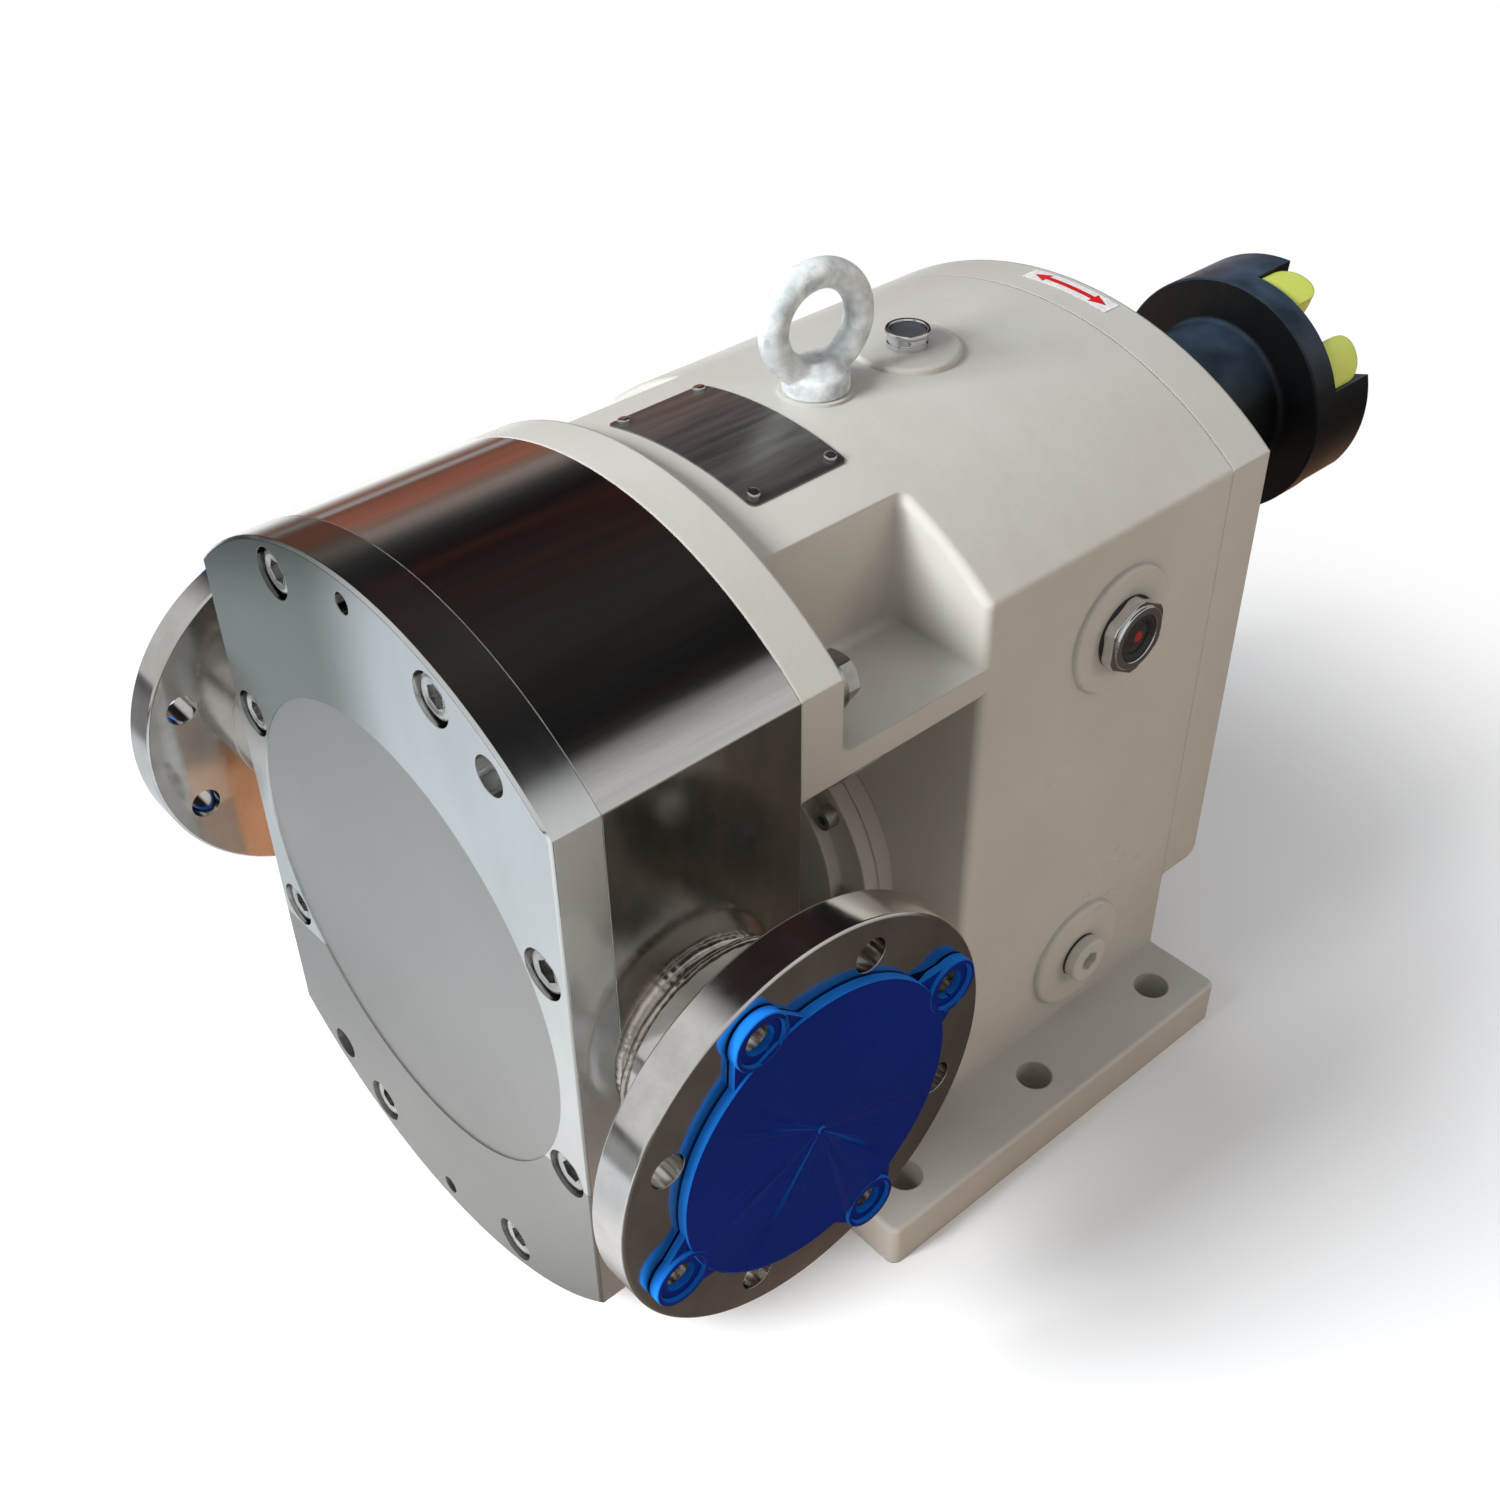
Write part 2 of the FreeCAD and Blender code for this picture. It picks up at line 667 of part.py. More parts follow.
def bearing_cover(z):
    """Cover with a raised boss and an oil seal, bolted over a front bearing."""
    flange_rear = body_front - carrier_flange_thickness
    flange_front = flange_rear - bearing_cover_thickness
    boss_front = flange_front - bearing_boss_height
    spigot_end = body_front + cover_spigot_length
    disc = trimmed_disc(carrier_flange_radius, flange_front, flange_rear, z)
    groove = edges_where(disc, lambda e, m: abs(m.y - flange_rear) < 0.1)
    disc = disc.makeChamfer(1.2, groove)
    boss = trimmed_disc(bearing_boss_radius, boss_front, flange_front, z)
    spigot = rod(front_bearing_radius - fit_clearance, flange_rear, spigot_end, z)
    solid = fused([disc, boss, spigot])
    cuts = [rod(seal_seat_radius + bore_clearance, boss_front - 1, spigot_end + 1, z),
            rod(oil_seal_radius, boss_front - 1, boss_front + oil_seal_width, z),
            rod(front_race_outer - 2, flange_rear, spigot_end + 1, z)]
    for x, dz in bearing_screw_offsets(z):
        cuts.append(rod(bearing_screw_radius + boss_play, flange_front - 1, flange_rear + 1, z + dz, x))
    return solid.cut(cuts)


def bearing_cover_screws():
    seat = body_front - carrier_flange_thickness - bearing_cover_thickness
    return [socket_screw(bearing_screw_radius - fit_clearance, bearing_screw_head_radius,
                         bearing_screw_head_height, bearing_screw_length, seat, z + dz, x)
            for z in (drive_z, driven_z) for x, dz in bearing_screw_offsets(z)]


def front_oil_seals():
    front = body_front - carrier_flange_thickness - bearing_cover_thickness - bearing_boss_height
    return [tube(oil_seal_radius - fit_clearance, seal_seat_radius + running_clearance,
                 front + 1, front + oil_seal_width, z) for z in (drive_z, driven_z)]


def rear_oil_seal():
    end = cover_rear + rear_cap_thickness
    return tube(rear_seal_radius - fit_clearance, drive_end_radius + running_clearance,
                end - oil_seal_width, end - 1, drive_z)


# Bearings: an outer ring in its seat, an inner ring on the shaft and rollers between

def front_bearing_start():
    return body_front + cover_spigot_length


def outer_rings(outer, race, start, width):
    return [tube(outer - fit_clearance, race, start, start + width, z) for z in (drive_z, driven_z)]


def inner_rings(z):
    front = front_bearing_start()
    return [tube(front_race_inner, front_seat_radius + fit_clearance, front, front + front_bearing_width, z),
            tube(rear_race_inner, rear_seat_radius + fit_clearance, rear_bearing_front,
                 rear_bearing_front + rear_bearing_width, z)]


def roller_ring(count, race_inner, race_outer, start, width, z):
    middle = (race_inner + race_outer) / 2
    radius = (race_outer - race_inner) / 2 - roller_play
    rollers = []
    for k in range(count):
        turn = 2 * math.pi * k / count
        rollers.append(rod(radius, start + roller_end_gap, start + width - roller_end_gap,
                           z + middle * math.sin(turn), middle * math.cos(turn)))
    return rollers


def bearing_rollers(z):
    return (roller_ring(front_rollers, front_race_inner, front_race_outer, front_bearing_start(),
                        front_bearing_width, z)
            + roller_ring(rear_rollers, rear_race_inner, rear_race_outer, rear_bearing_front,
                          rear_bearing_width, z))


# Rotor case and the two port stubs welded to its sides

def port_stub(side):
    """One port: neck with its root on the case's flat side, and bolted flange. side is 1
    right, -1 left."""
    flange_back = port_face - port_flange_thickness
    pipe_start = half_width + neck_root_length
    root = Part.makeCone(neck_root_radius, neck_pipe_radius, neck_root_length,
                         Vector(half_width, 0, 0), Vector(1, 0, 0))
    pipe = Part.makeCylinder(neck_pipe_radius, flange_back - pipe_start + 1, Vector(pipe_start, 0, 0),
                             Vector(1, 0, 0))
    flange = Part.makeCylinder(port_flange_radius, port_flange_thickness, Vector(flange_back, 0, 0),
                               Vector(1, 0, 0))
    flange = flange.makeChamfer(port_flange_chamfer,
                                edges_where(flange, lambda e, m: e.Length > 6 * port_flange_radius))
    solid = placed_on_port(fused([root, pipe, flange]), side)
    return solid.cut([port_passage(side), *port_bolt_holes(side)])


def placed_on_port(shape, side):
    """Moves a shape built about the X axis to the right or left port."""
    if side < 0:
        shape = shape.mirror(Vector(0, 0, 0), Vector(1, 0, 0))
    shape.translate(Vector(0, chamber_middle, axis_height))
    return shape


def port_passage(side):
    """Inside of one port: straight bore, taper and throat into the chamber."""
    straight = port_face - port_straight_bore
    pieces = [Part.makeCylinder(port_bore_radius, port_straight_bore + 1, Vector(straight, 0, 0),
                                Vector(1, 0, 0)),
              Part.makeCone(port_throat_radius, port_bore_radius, straight - port_throat_x,
                            Vector(port_throat_x, 0, 0), Vector(1, 0, 0)),
              Part.makeCylinder(port_throat_radius, port_throat_x - pitch_radius,
                                Vector(pitch_radius, 0, 0), Vector(1, 0, 0))]
    return placed_on_port(fused(pieces), side)


def port_bolt_holes(side):
    holes = []
    for k in range(port_bolts):
        turn = math.radians(port_bolt_phase) + 2 * math.pi * k / port_bolts
        centre = Vector(port_face - port_flange_thickness - 1, port_bolt_circle * math.cos(turn),
                        port_bolt_circle * math.sin(turn))
        hole = Part.makeCylinder(port_bolt_radius, port_flange_thickness + 2, centre, Vector(1, 0, 0))
        holes.append(placed_on_port(hole, side))
    return holes


def rotor_case():
    solid = full_outline(case_front, plate_front)
    inner = chamber_radius + seal_groove_offset
    groove = two_discs(inner + seal_groove_width, case_front - 1, case_front + seal_groove_depth)
    groove = groove.cut(two_discs(inner, case_front - 1, case_front + seal_groove_depth))
    cuts = [two_discs(chamber_radius, case_front - 1, chamber_back), groove,
            port_passage(1), port_passage(-1)]
    for z in (drive_z, driven_z):
        cuts.append(rod(seal_housing_radius, chamber_back - 1, plate_front + 1, z))
    for x, z in mirrored_places(cover_screw_places):
        cuts.append(rod(cover_screw_radius, case_front - 1, case_front + tapped_depth, z, x))
    for x, z in mirrored_places(case_bolt_places):
        cuts.append(rod(case_bolt_radius, plate_front - case_bolt_grip - 3, plate_front + 1, z, x))
    for x, z in dowel_places():
        cuts.append(rod(dowel_radius, case_front - 1, case_front + dowel_length, z, x))
    return solid.cut(cuts)


def dowel_places():
    x, z = dowel_place
    return [(x, axis_height + z), (-x, axis_height - z)]


def cover_seal_ring():
    """Rubber ring in the groove round the chamber."""
    inner = chamber_radius + seal_groove_offset + fit_clearance
    outer = inner + seal_groove_width - 2 * fit_clearance
    ring = two_discs(outer, case_front, case_front + seal_groove_depth)
    return ring.cut(two_discs(inner, case_front - 1, case_front + seal_groove_depth + 1))


def front_cover():
    solid = full_outline(cover_front, case_front)
    solid = solid.makeChamfer(cover_chamfer, edges_where(solid, lambda e, m: abs(m.y - cover_front) < 0.1))
    cuts = [rod(cover_disc_radius, cover_front - 1, cover_front + cover_disc_depth, axis_height)]
    for x, z in mirrored_places(cover_screw_places):
        cuts.append(rod(cover_screw_radius + screw_hole_play, cover_front - 1, case_front + 1, z, x))
        cuts.append(rod(counterbore_radius, cover_front - 1, cover_front + counterbore_depth, z, x))
    for side in (-1, 1):
        z = axis_height + side * jack_hole_z
        cuts.append(rod(jack_hole_radius, cover_front - 1, case_front + 1, z))
    for x, z in dowel_places():
        cuts.append(rod(dowel_radius, cover_front - 1, case_front + 1, z, x))
    return solid.cut(cuts)


def cover_screws():
    seat = cover_front + counterbore_depth
    return [socket_screw(cover_screw_radius - fit_clearance, cover_screw_head_radius,
                         cover_screw_head_height, cover_screw_length, seat, z, x)
            for x, z in mirrored_places(cover_screw_places)]


def dowel_pins():
    return [rod(dowel_radius - fit_clearance, cover_front + dowel_sink,
                cover_front + dowel_sink + dowel_length, z, x) for x, z in dowel_places()]


def case_bolts():
    seat = plate_rear + washer_thickness
    bolts = []
    for x, z in mirrored_places(case_bolt_places):
        head = hexagon(case_bolt_head_flats, case_bolt_head_height, Vector(x, seat, z), Vector(0, 1, 0))
        rounded_top = case_bolt_head_flats / 2 * hex_chamfer
        head = head.common(Part.makeCone(rounded_top + case_bolt_head_height * math.sqrt(3), rounded_top,
                                         case_bolt_head_height, Vector(x, seat, z), Vector(0, 1, 0)))
        shank = rod(case_bolt_radius - fit_clearance, plate_front - case_bolt_grip, seat, z, x)
        bolts.append(head.fuse(shank).removeSplitter())
    return bolts


def case_bolt_washers():
    return [tube(washer_radius, case_bolt_radius + 0.5, plate_rear, plate_rear + washer_thickness, z, x)
            for x, z in mirrored_places(case_bolt_places)]


# Shaft seals

def seal_housing(z):
    flange_end = plate_front + seal_housing_flange_end
    solid = fused([rod(seal_housing_radius - fit_clearance, chamber_back, plate_front, z),
                   rod(seal_housing_flange, plate_front, flange_end, z)])
    cuts = [rod(seal_lip_radius, chamber_back - 1, flange_end + 1, z),
            rod(seal_pocket_radius, chamber_back + seal_lip_length, flange_end + 1, z)]
    return solid.cut(cuts)


def stationary_ring(z):
    start = chamber_back + seal_lip_length
    return tube(seal_pocket_radius - fit_clearance, seal_lip_radius - 1, start,
                start + stationary_ring_length, z)


def rotating_ring(z):
    start = chamber_back + seal_lip_length + stationary_ring_length + seal_face_gap
    ring = tube(rotating_ring_radius, seal_seat_radius + fit_clearance, start,
                start + rotating_ring_length, z)
    slim = tube(rotating_ring_radius + 1, rotating_ring_radius - 3, start + 5,
                start + rotating_ring_length - 9, z)
    return ring.cut(slim)


# Shafts

def shaft(z, end):
    """Stepped shaft from the rotor at the front to its rear end."""
    bearing_end = front_bearing_start() + front_bearing_width
    gear_end = gear_front + gear_width
    nut_end = gear_end + nut_width
    shoulder = chamber_back - face_clearance
    rotor_end = case_front + face_clearance + rotor_bolt_pocket_depth + 0.5
    steps = [(rotor_seat_radius, rotor_end, shoulder),
             (seal_seat_radius, shoulder, front_bearing_start()),
             (front_seat_radius, front_bearing_start(), bearing_end),
             (shoulder_radius, bearing_end, gear_front),
             (gear_seat_radius, gear_front, gear_end),
             (nut_seat_radius, gear_end, nut_end),
             (rear_run_radius, nut_end, rear_bearing_front),
             (rear_seat_radius, rear_bearing_front, rear_bearing_front + rear_bearing_width)]
    if end > steps[-1][2]:
        steps.append((drive_end_radius, steps[-1][2], end))
    solid = fused([rod(radius, start, stop, z) for radius, start, stop in steps])
    tapped = rod(rotor_screw_radius, rotor_end - 1, rotor_end + rotor_screw_length + 2, z)
    return solid.cut([tapped, rotor_key(z, fit_clearance), gear_key(z, fit_clearance)])


def drive_shaft():
    end = jaw_root - shaft_end_recess
    solid = shaft(drive_z, end).cut(coupling_key(fit_clearance))
    rim = edges_where(solid, lambda e, m: abs(m.y - end) < 0.1)
    return solid.makeChamfer(shaft_chamfer, rim)


def rotor_key(z, clearance=0.0):
    """Key between shaft and rotor."""
    half = rotor_key_width / 2 + clearance
    top = z + rotor_seat_radius + rotor_key_height / 2 + clearance
    return block(-half, half, case_front + rotor_bolt_pocket_depth + 6 - clearance,
                 chamber_back - 8 + clearance, top - rotor_key_height - 2 * clearance, top)


def gear_key(z, clearance=0.0):
    """Key between shaft and timing gear."""
    half = gear_key_width / 2 + clearance
    top = z + gear_seat_radius + gear_key_height / 2 + clearance
    return block(-half, half, gear_front - clearance, gear_front + gear_width + clearance,
                 top - gear_key_height - 2 * clearance, top)


def coupling_key(clearance=0.0):
    """Key between the drive shaft and the coupling hub."""
    half = coupling_key_width / 2 + clearance
    top = drive_z + drive_end_radius + coupling_key_height / 2 + clearance
    start = jaw_root - key_end_distance - coupling_key_length
    return block(-half, half, start - clearance, start + coupling_key_length + clearance,
                 top - coupling_key_height - 2 * clearance, top)


# Timing gears

def involute(base, angle):
    """A point of the involute of a base circle, in polar form: radius and angle."""
    return base * math.sqrt(1 + angle * angle), angle - math.atan(angle)


def polar(radius, angle, y, z):
    return Vector(radius * math.cos(angle), y, z + radius * math.sin(angle))


def timing_gear(z, phase):
    """Involute spur gear; phase is the angle of one tooth's middle."""
    pitch = gear_module * gear_teeth / 2
    base = pitch * math.cos(pressure_angle)
    tip, root = pitch + gear_module, pitch - 1.25 * gear_module
    inv_pitch = math.tan(pressure_angle) - pressure_angle
    half_tooth = math.pi / (2 * gear_teeth) - gear_backlash / (4 * pitch) + inv_pitch
    reach = math.sqrt((tip / base) ** 2 - 1)
    flank = [involute(base, reach * k / 6) for k in range(7)]
    y = gear_front
    edges = []
    step = 2 * math.pi / gear_teeth
    for k in range(gear_teeth):
        middle = phase + k * step
        rising = [polar(r, middle - half_tooth + a, y, z) for r, a in flank]
        falling = [polar(r, middle + half_tooth - a, y, z) for r, a in reversed(flank)]
        foot = polar(root, middle - half_tooth, y, z)
        toe = polar(root, middle + half_tooth, y, z)
        next_foot = polar(root, middle + step - half_tooth, y, z)
        up, down = Part.BSplineCurve(), Part.BSplineCurve()
        up.interpolate(rising)
        down.interpolate(falling)
        edges += [Part.makeLine(foot, rising[0]), up.toShape(),
                  Part.Arc(rising[-1], polar(tip, middle, y, z), falling[0]).toShape(),
                  down.toShape(), Part.makeLine(falling[-1], toe),
                  Part.Arc(toe, polar(root, middle + step / 2, y, z), next_foot).toShape()]
    solid = Part.Face(Part.Wire(edges)).extrude(Vector(0, gear_width, 0))
    cuts = [rod(gear_seat_radius + fit_clearance, y - 1, y + gear_width + 1, z), gear_key(z, fit_clearance),
            tube(gear_web_outer, gear_web_inner, y - 1, y + gear_web_depth, z),
            tube(gear_web_outer, gear_web_inner, y + gear_width - gear_web_depth, y + gear_width + 1, z)]
    between = (gear_web_outer + gear_web_inner) / 2
    for k in range(gear_holes):
        turn = 2 * math.pi * k / gear_holes
        cuts.append(rod(gear_hole_radius, y - 1, y + gear_width + 1, z + between * math.sin(turn),
                        between * math.cos(turn)))
    return solid.cut(cuts)


def gear_nut(z):
    """Slotted lock nut that holds the gear against the shaft's shoulder."""
    start = gear_front + gear_width
    ring = tube(nut_radius, nut_seat_radius + fit_clearance, start, start + nut_width, z)
    slots = []
    for k in range(4):
        slot = block(-nut_slot_width / 2, nut_slot_width / 2, start - 1, start + nut_width + 1,
                     z + nut_radius - nut_slot_depth, z + nut_radius + 2)
        slot.rotate(Vector(0, 0, z), Vector(0, 1, 0), 45 + 90 * k)
        slots.append(slot)
    return ring.cut(slots)


# Rotors

def rotor_profile(z, phase, y):
    """Outline of a rotor whose round lobe tips run in hollows that the other rotor's tips
    would sweep. phase is the angle of one lobe's middle."""
    def hollow_point(turn, middle):
        track = (shaft_spacing * math.cos(turn) - tip_arc_centre * math.cos(2 * turn),
                 shaft_spacing * math.sin(turn) - tip_arc_centre * math.sin(2 * turn))
        contact = (pitch_radius * math.cos(turn), pitch_radius * math.sin(turn))
        span = math.hypot(contact[0] - track[0], contact[1] - track[1])
        reach = (tip_arc_radius + rotor_clearance) / span
        px = track[0] + (contact[0] - track[0]) * reach
        pz = track[1] + (contact[1] - track[1]) * reach
        return polar(math.hypot(px, pz), math.atan2(pz, px) + middle, y, z)

    half = math.pi / (2 * lobes)
    edges = []
    for k in range(lobes):
        lobe_middle = phase + 2 * math.pi * k / lobes
        hollow_middle = lobe_middle + math.pi / lobes
        hollow = [hollow_point(half * (j / 6 - 1), hollow_middle) for j in range(13)]
        before = hollow_point(half, hollow_middle - 2 * math.pi / lobes)
        tip = polar(rotor_radius, lobe_middle, y, z)
        curve = Part.BSplineCurve()
        curve.interpolate(hollow)
        edges += [Part.Arc(before, tip, hollow[0]).toShape(), curve.toShape()]
    return Part.Face(Part.Wire(edges))


def rotor(z, phase):
    start, end = case_front + face_clearance, chamber_back - face_clearance
    solid = rotor_profile(z, phase, start).extrude(Vector(0, end - start, 0))
    return solid.cut([rod(rotor_seat_radius + fit_clearance, start - 1, end + 1, z),
                      rod(rotor_bolt_pocket_radius, start - 1, start + rotor_bolt_pocket_depth, z),
                      rotor_key(z, fit_clearance)])


def rotor_screw(z):
    """Screw with a wide head, sunk in the rotor's front, that holds it on the shaft."""
    seat = case_front + face_clearance + rotor_bolt_pocket_depth
    head_height = rotor_bolt_pocket_depth - 1
    return socket_screw(rotor_screw_radius - fit_clearance, rotor_bolt_pocket_radius - boss_play,
                        head_height, rotor_screw_length, seat, z, 0)


# Coupling half

def sector(inner, outer, middle, angle, start, end):
    """A sector of a ring about the drive shaft; angles run from straight up towards +X."""
    ring = tube(outer, inner, start, end, drive_z)
    reach = outer * 2
    turns = [math.radians(middle - angle / 2), math.radians(middle + angle / 2)]
    corners = [Vector(0, start, drive_z)] + [
        Vector(reach * math.sin(t), start, drive_z + reach * math.cos(t)) for t in turns]
    wedge = Part.Face(Part.makePolygon(corners + corners[:1])).extrude(Vector(0, end - start, 0))
    return ring.common(wedge)


def coupling_hub():
    pieces = [rod(hub_radius, hub_front, coupling_flange_front, drive_z),
              rod(coupling_radius, coupling_flange_front, jaw_root, drive_z)]
    body = fused(pieces)
    inner_corner = edges_where(body, lambda e, m: abs(m.y - coupling_flange_front) < 0.1
                               and abs(e.Length - 2 * math.pi * hub_radius) < 1)
    body = body.makeFillet(coupling_corner, inner_corner)
    rim = edges_where(body, lambda e, m: abs(m.y - coupling_flange_front) < 0.1
                      and e.Length > 2 * math.pi * (coupling_radius - 1))
    body = body.makeChamfer(coupling_chamfer, rim)
    teeth = [sector(jaw_inner_radius, coupling_radius, jaw_phase + 360 / jaws * k, jaw_angle,
                    jaw_root - 2, jaw_root + jaw_length) for k in range(jaws)]
    solid = fused([body] + teeth)
    screw_y = (hub_front + coupling_flange_front) / 2
    screw = Part.makeCylinder(set_screw_radius, hub_radius + 1, Vector(0, screw_y, drive_z), Vector(1, 0, 0))
    return solid.cut([rod(drive_end_radius + fit_clearance, hub_front - 1, jaw_root + 1, drive_z),
                      coupling_key(fit_clearance), screw])


def coupling_set_screw():
    screw_y = (hub_front + coupling_flange_front) / 2
    start = drive_end_radius + 2 * fit_clearance
    screw = Part.makeCylinder(set_screw_radius - fit_clearance, 14, Vector(start, screw_y, drive_z),
                              Vector(1, 0, 0))
    return screw.cut(hexagon(5.0, 6, Vector(start + 9, screw_y, drive_z), Vector(1, 0, 0)))


def coupling_spider():
    """Elastic star: one round-ended lobe against each side of every jaw, joined by a ring."""
    start = jaw_root + 1.0
    end = start + spider_thickness
    gap_half = (360.0 / jaws - jaw_angle) / 2
    pieces = [tube(spider_ring_radius, spider_bore_radius, start, end - 4, drive_z)]
    for k in range(jaws):
        gap_middle = jaw_phase + 360.0 / jaws * (k + 0.5)
        for side in (-1, 1):
            middle = gap_middle + side * (gap_half - lobe_angle / 2 - lobe_play)
            bar = block(-lobe_width / 2, lobe_width / 2, start, end, drive_z, drive_z + coupling_radius)
            tip = edges_where(bar, lambda e, m: abs(m.y - end) < 0.1 and abs(m.x) > lobe_width / 2 - 0.1)
            bar = bar.makeFillet(lobe_rounding, tip)
            bar.rotate(Vector(0, 0, drive_z), Vector(0, 1, 0), middle)
            pieces.append(bar.common(sector(spider_bore_radius + 4, lobe_radius, middle, lobe_angle,
                                            start - 1, end + 1)))
    return fused(pieces)


# Fittings on the gearbox

def eye_bolt():
    crown = axis_height + crown_height
    seat = crown + eye_pad_height
    centre = Vector(0, eye_y, crown + eye_ring_height)
    turn = math.radians(eye_turn)
    normal = Vector(-math.sin(turn), math.cos(turn), 0)
    ring = Part.makeTorus(eye_ring_radius, eye_bar_radius, centre, normal)
    collar = Part.makeCylinder(eye_collar_radius, eye_collar_height, Vector(0, eye_y, seat))
    collar = collar.makeFillet(eye_collar_rounding, edges_where(
        collar, lambda e, m: abs(m.z - seat - eye_collar_height) < 0.1))
    shank = Part.makeCylinder(eye_shank_radius, eye_shank_length, Vector(0, eye_y, seat - eye_shank_length))
    return fused([collar, shank, ring])


def breather():
    """Oil filler and breather: an open cup with a rolled lip on a threaded stem."""
    seat = axis_height + crown_height + breather_boss_height
    rim = seat + breather_height
    cup = Part.makeCylinder(breather_radius - breather_lip, breather_height, Vector(0, breather_y, seat))
    lip = Part.makeTorus(breather_radius - breather_lip, breather_lip,
                         Vector(0, breather_y, rim - breather_lip))
    stem = Part.makeCylinder(breather_thread_radius, breather_thread_length,
                             Vector(0, breather_y, seat - breather_thread_length))
    bowl = Part.makeCylinder(breather_radius - 2 * breather_lip, breather_depth + 1,
                             Vector(0, breather_y, rim - breather_depth))
    return fused([cup, lip, stem]).cut(bowl)


def sight_glass_body():
    seat = half_width + sight_boss_height + gasket_thickness
    nut = hexagon(sight_flats, sight_flange_thickness, Vector(seat, side_fitting_y, sight_z),
                  Vector(1, 0, 0))
    collar = cross_rod(sight_flats / 2 + 1.6, seat, seat + sight_flange_thickness, side_fitting_y, sight_z)
    nut = nut.common(collar)
    rim = cross_rod(sight_rim_radius, seat, seat + sight_flange_thickness + sight_rim_height,
                    side_fitting_y, sight_z)
    stem = cross_rod(sight_thread_radius, seat - sight_thread_length, seat, side_fitting_y, sight_z)
    solid = fused([nut, rim, stem])
    end = seat + sight_flange_thickness + sight_rim_height
    return solid.cut([cross_rod(sight_lens_radius, seat + 3, end + 1, side_fitting_y, sight_z),
                      cross_rod(sight_lens_radius - 3, seat - sight_thread_length - 1, seat + 4,
                                side_fitting_y, sight_z)])


def sight_glass_lens():
    start = half_width + sight_boss_height + gasket_thickness + 3
    return cross_rod(sight_lens_radius - fit_clearance, start,
                     start + sight_flange_thickness + sight_rim_height - 5, side_fitting_y, sight_z)


def flat_gasket(outer, inner, face, z):
    ring = cross_rod(outer, face, face + gasket_thickness, side_fitting_y, z)
    return ring.cut(cross_rod(inner, face - 1, face + gasket_thickness + 1, side_fitting_y, z))


def drain_plug():
    seat = half_width + drain_boss_height + gasket_thickness
    head = cross_rod(drain_head_radius, seat, seat + drain_head_height, side_fitting_y, drain_z)
    head = head.makeFillet(1.5, edges_where(head, lambda e, m: abs(m.x - seat - drain_head_height) < 0.1))
    stem = cross_rod(drain_thread_radius, seat - drain_thread_length, seat, side_fitting_y, drain_z)
    solid = fused([head, stem])
    return solid.cut(hexagon(drain_socket_flats, 8, Vector(seat + drain_head_height - 5.5, side_fitting_y,
                                                           drain_z), Vector(1, 0, 0)))


def nameplate_screw_places():
    half_x = nameplate_size[0] / 2 - nameplate_screw_inset
    half_y = nameplate_size[1] / 2 - nameplate_screw_inset
    turn = math.radians(nameplate_turn)
    return [(nameplate_middle[0] + sx * half_x * math.cos(turn) - sy * half_y * math.sin(turn),
             nameplate_middle[1] + sx * half_x * math.sin(turn) + sy * half_y * math.cos(turn))
            for sx in (-1, 1) for sy in (-1, 1)]


def nameplate():
    """Thin plate bent to the arch of the neck."""
    centre = axis_height + crown_height - arch_radius
    x, y = nameplate_middle
    half_x, half_y = nameplate_size[0] / 2, nameplate_size[1] / 2
    inside = arch_radius + fit_clearance
    shell = tube(inside + nameplate_thickness, inside, y - half_y - half_x, y + half_y + half_x, centre)
    cutter = block(x - half_x, x + half_x, y - half_y, y + half_y,
                   centre + arch_radius / 2, centre + arch_radius + 5)
    upright = edges_where(cutter, lambda e, m: abs(e.tangentAt(e.FirstParameter).z) > 0.9)
    cutter = cutter.makeFillet(nameplate_corner, upright)
    cutter.rotate(Vector(x, y, 0), Vector(0, 0, 1), nameplate_turn)
    plate = shell.common(cutter)
    return plate.cut([Part.makeCylinder(nameplate_shank_radius + 0.1, 20, Vector(px, py, arch_top(px) - 10))
                      for px, py in nameplate_screw_places()])


def nameplate_screws():
    """Round-head screws, square to the arch under each."""
    screws = []
    centre = axis_height + crown_height - arch_radius
    for x, y in nameplate_screw_places():
        head = Part.makeCylinder(nameplate_screw_radius, nameplate_screw_height, Vector(0, 0, 0))
        head = head.makeFillet(1.4, edges_where(head, lambda e, m: m.z > nameplate_screw_height - 0.1))
        head.rotate(Vector(0, 0, 0), Vector(0, 1, 0), math.degrees(math.asin(x / arch_radius)))
        out = arch_radius + nameplate_thickness + 0.05
        slope = x / arch_radius
        head.translate(Vector(slope * out, y, centre + math.sqrt(1 - slope ** 2) * out))
        shank = Part.makeCylinder(nameplate_shank_radius, 9, Vector(x, y, arch_top(x) - 6.5))
        screws.append(head.fuse(shank).removeSplitter())
    return screws


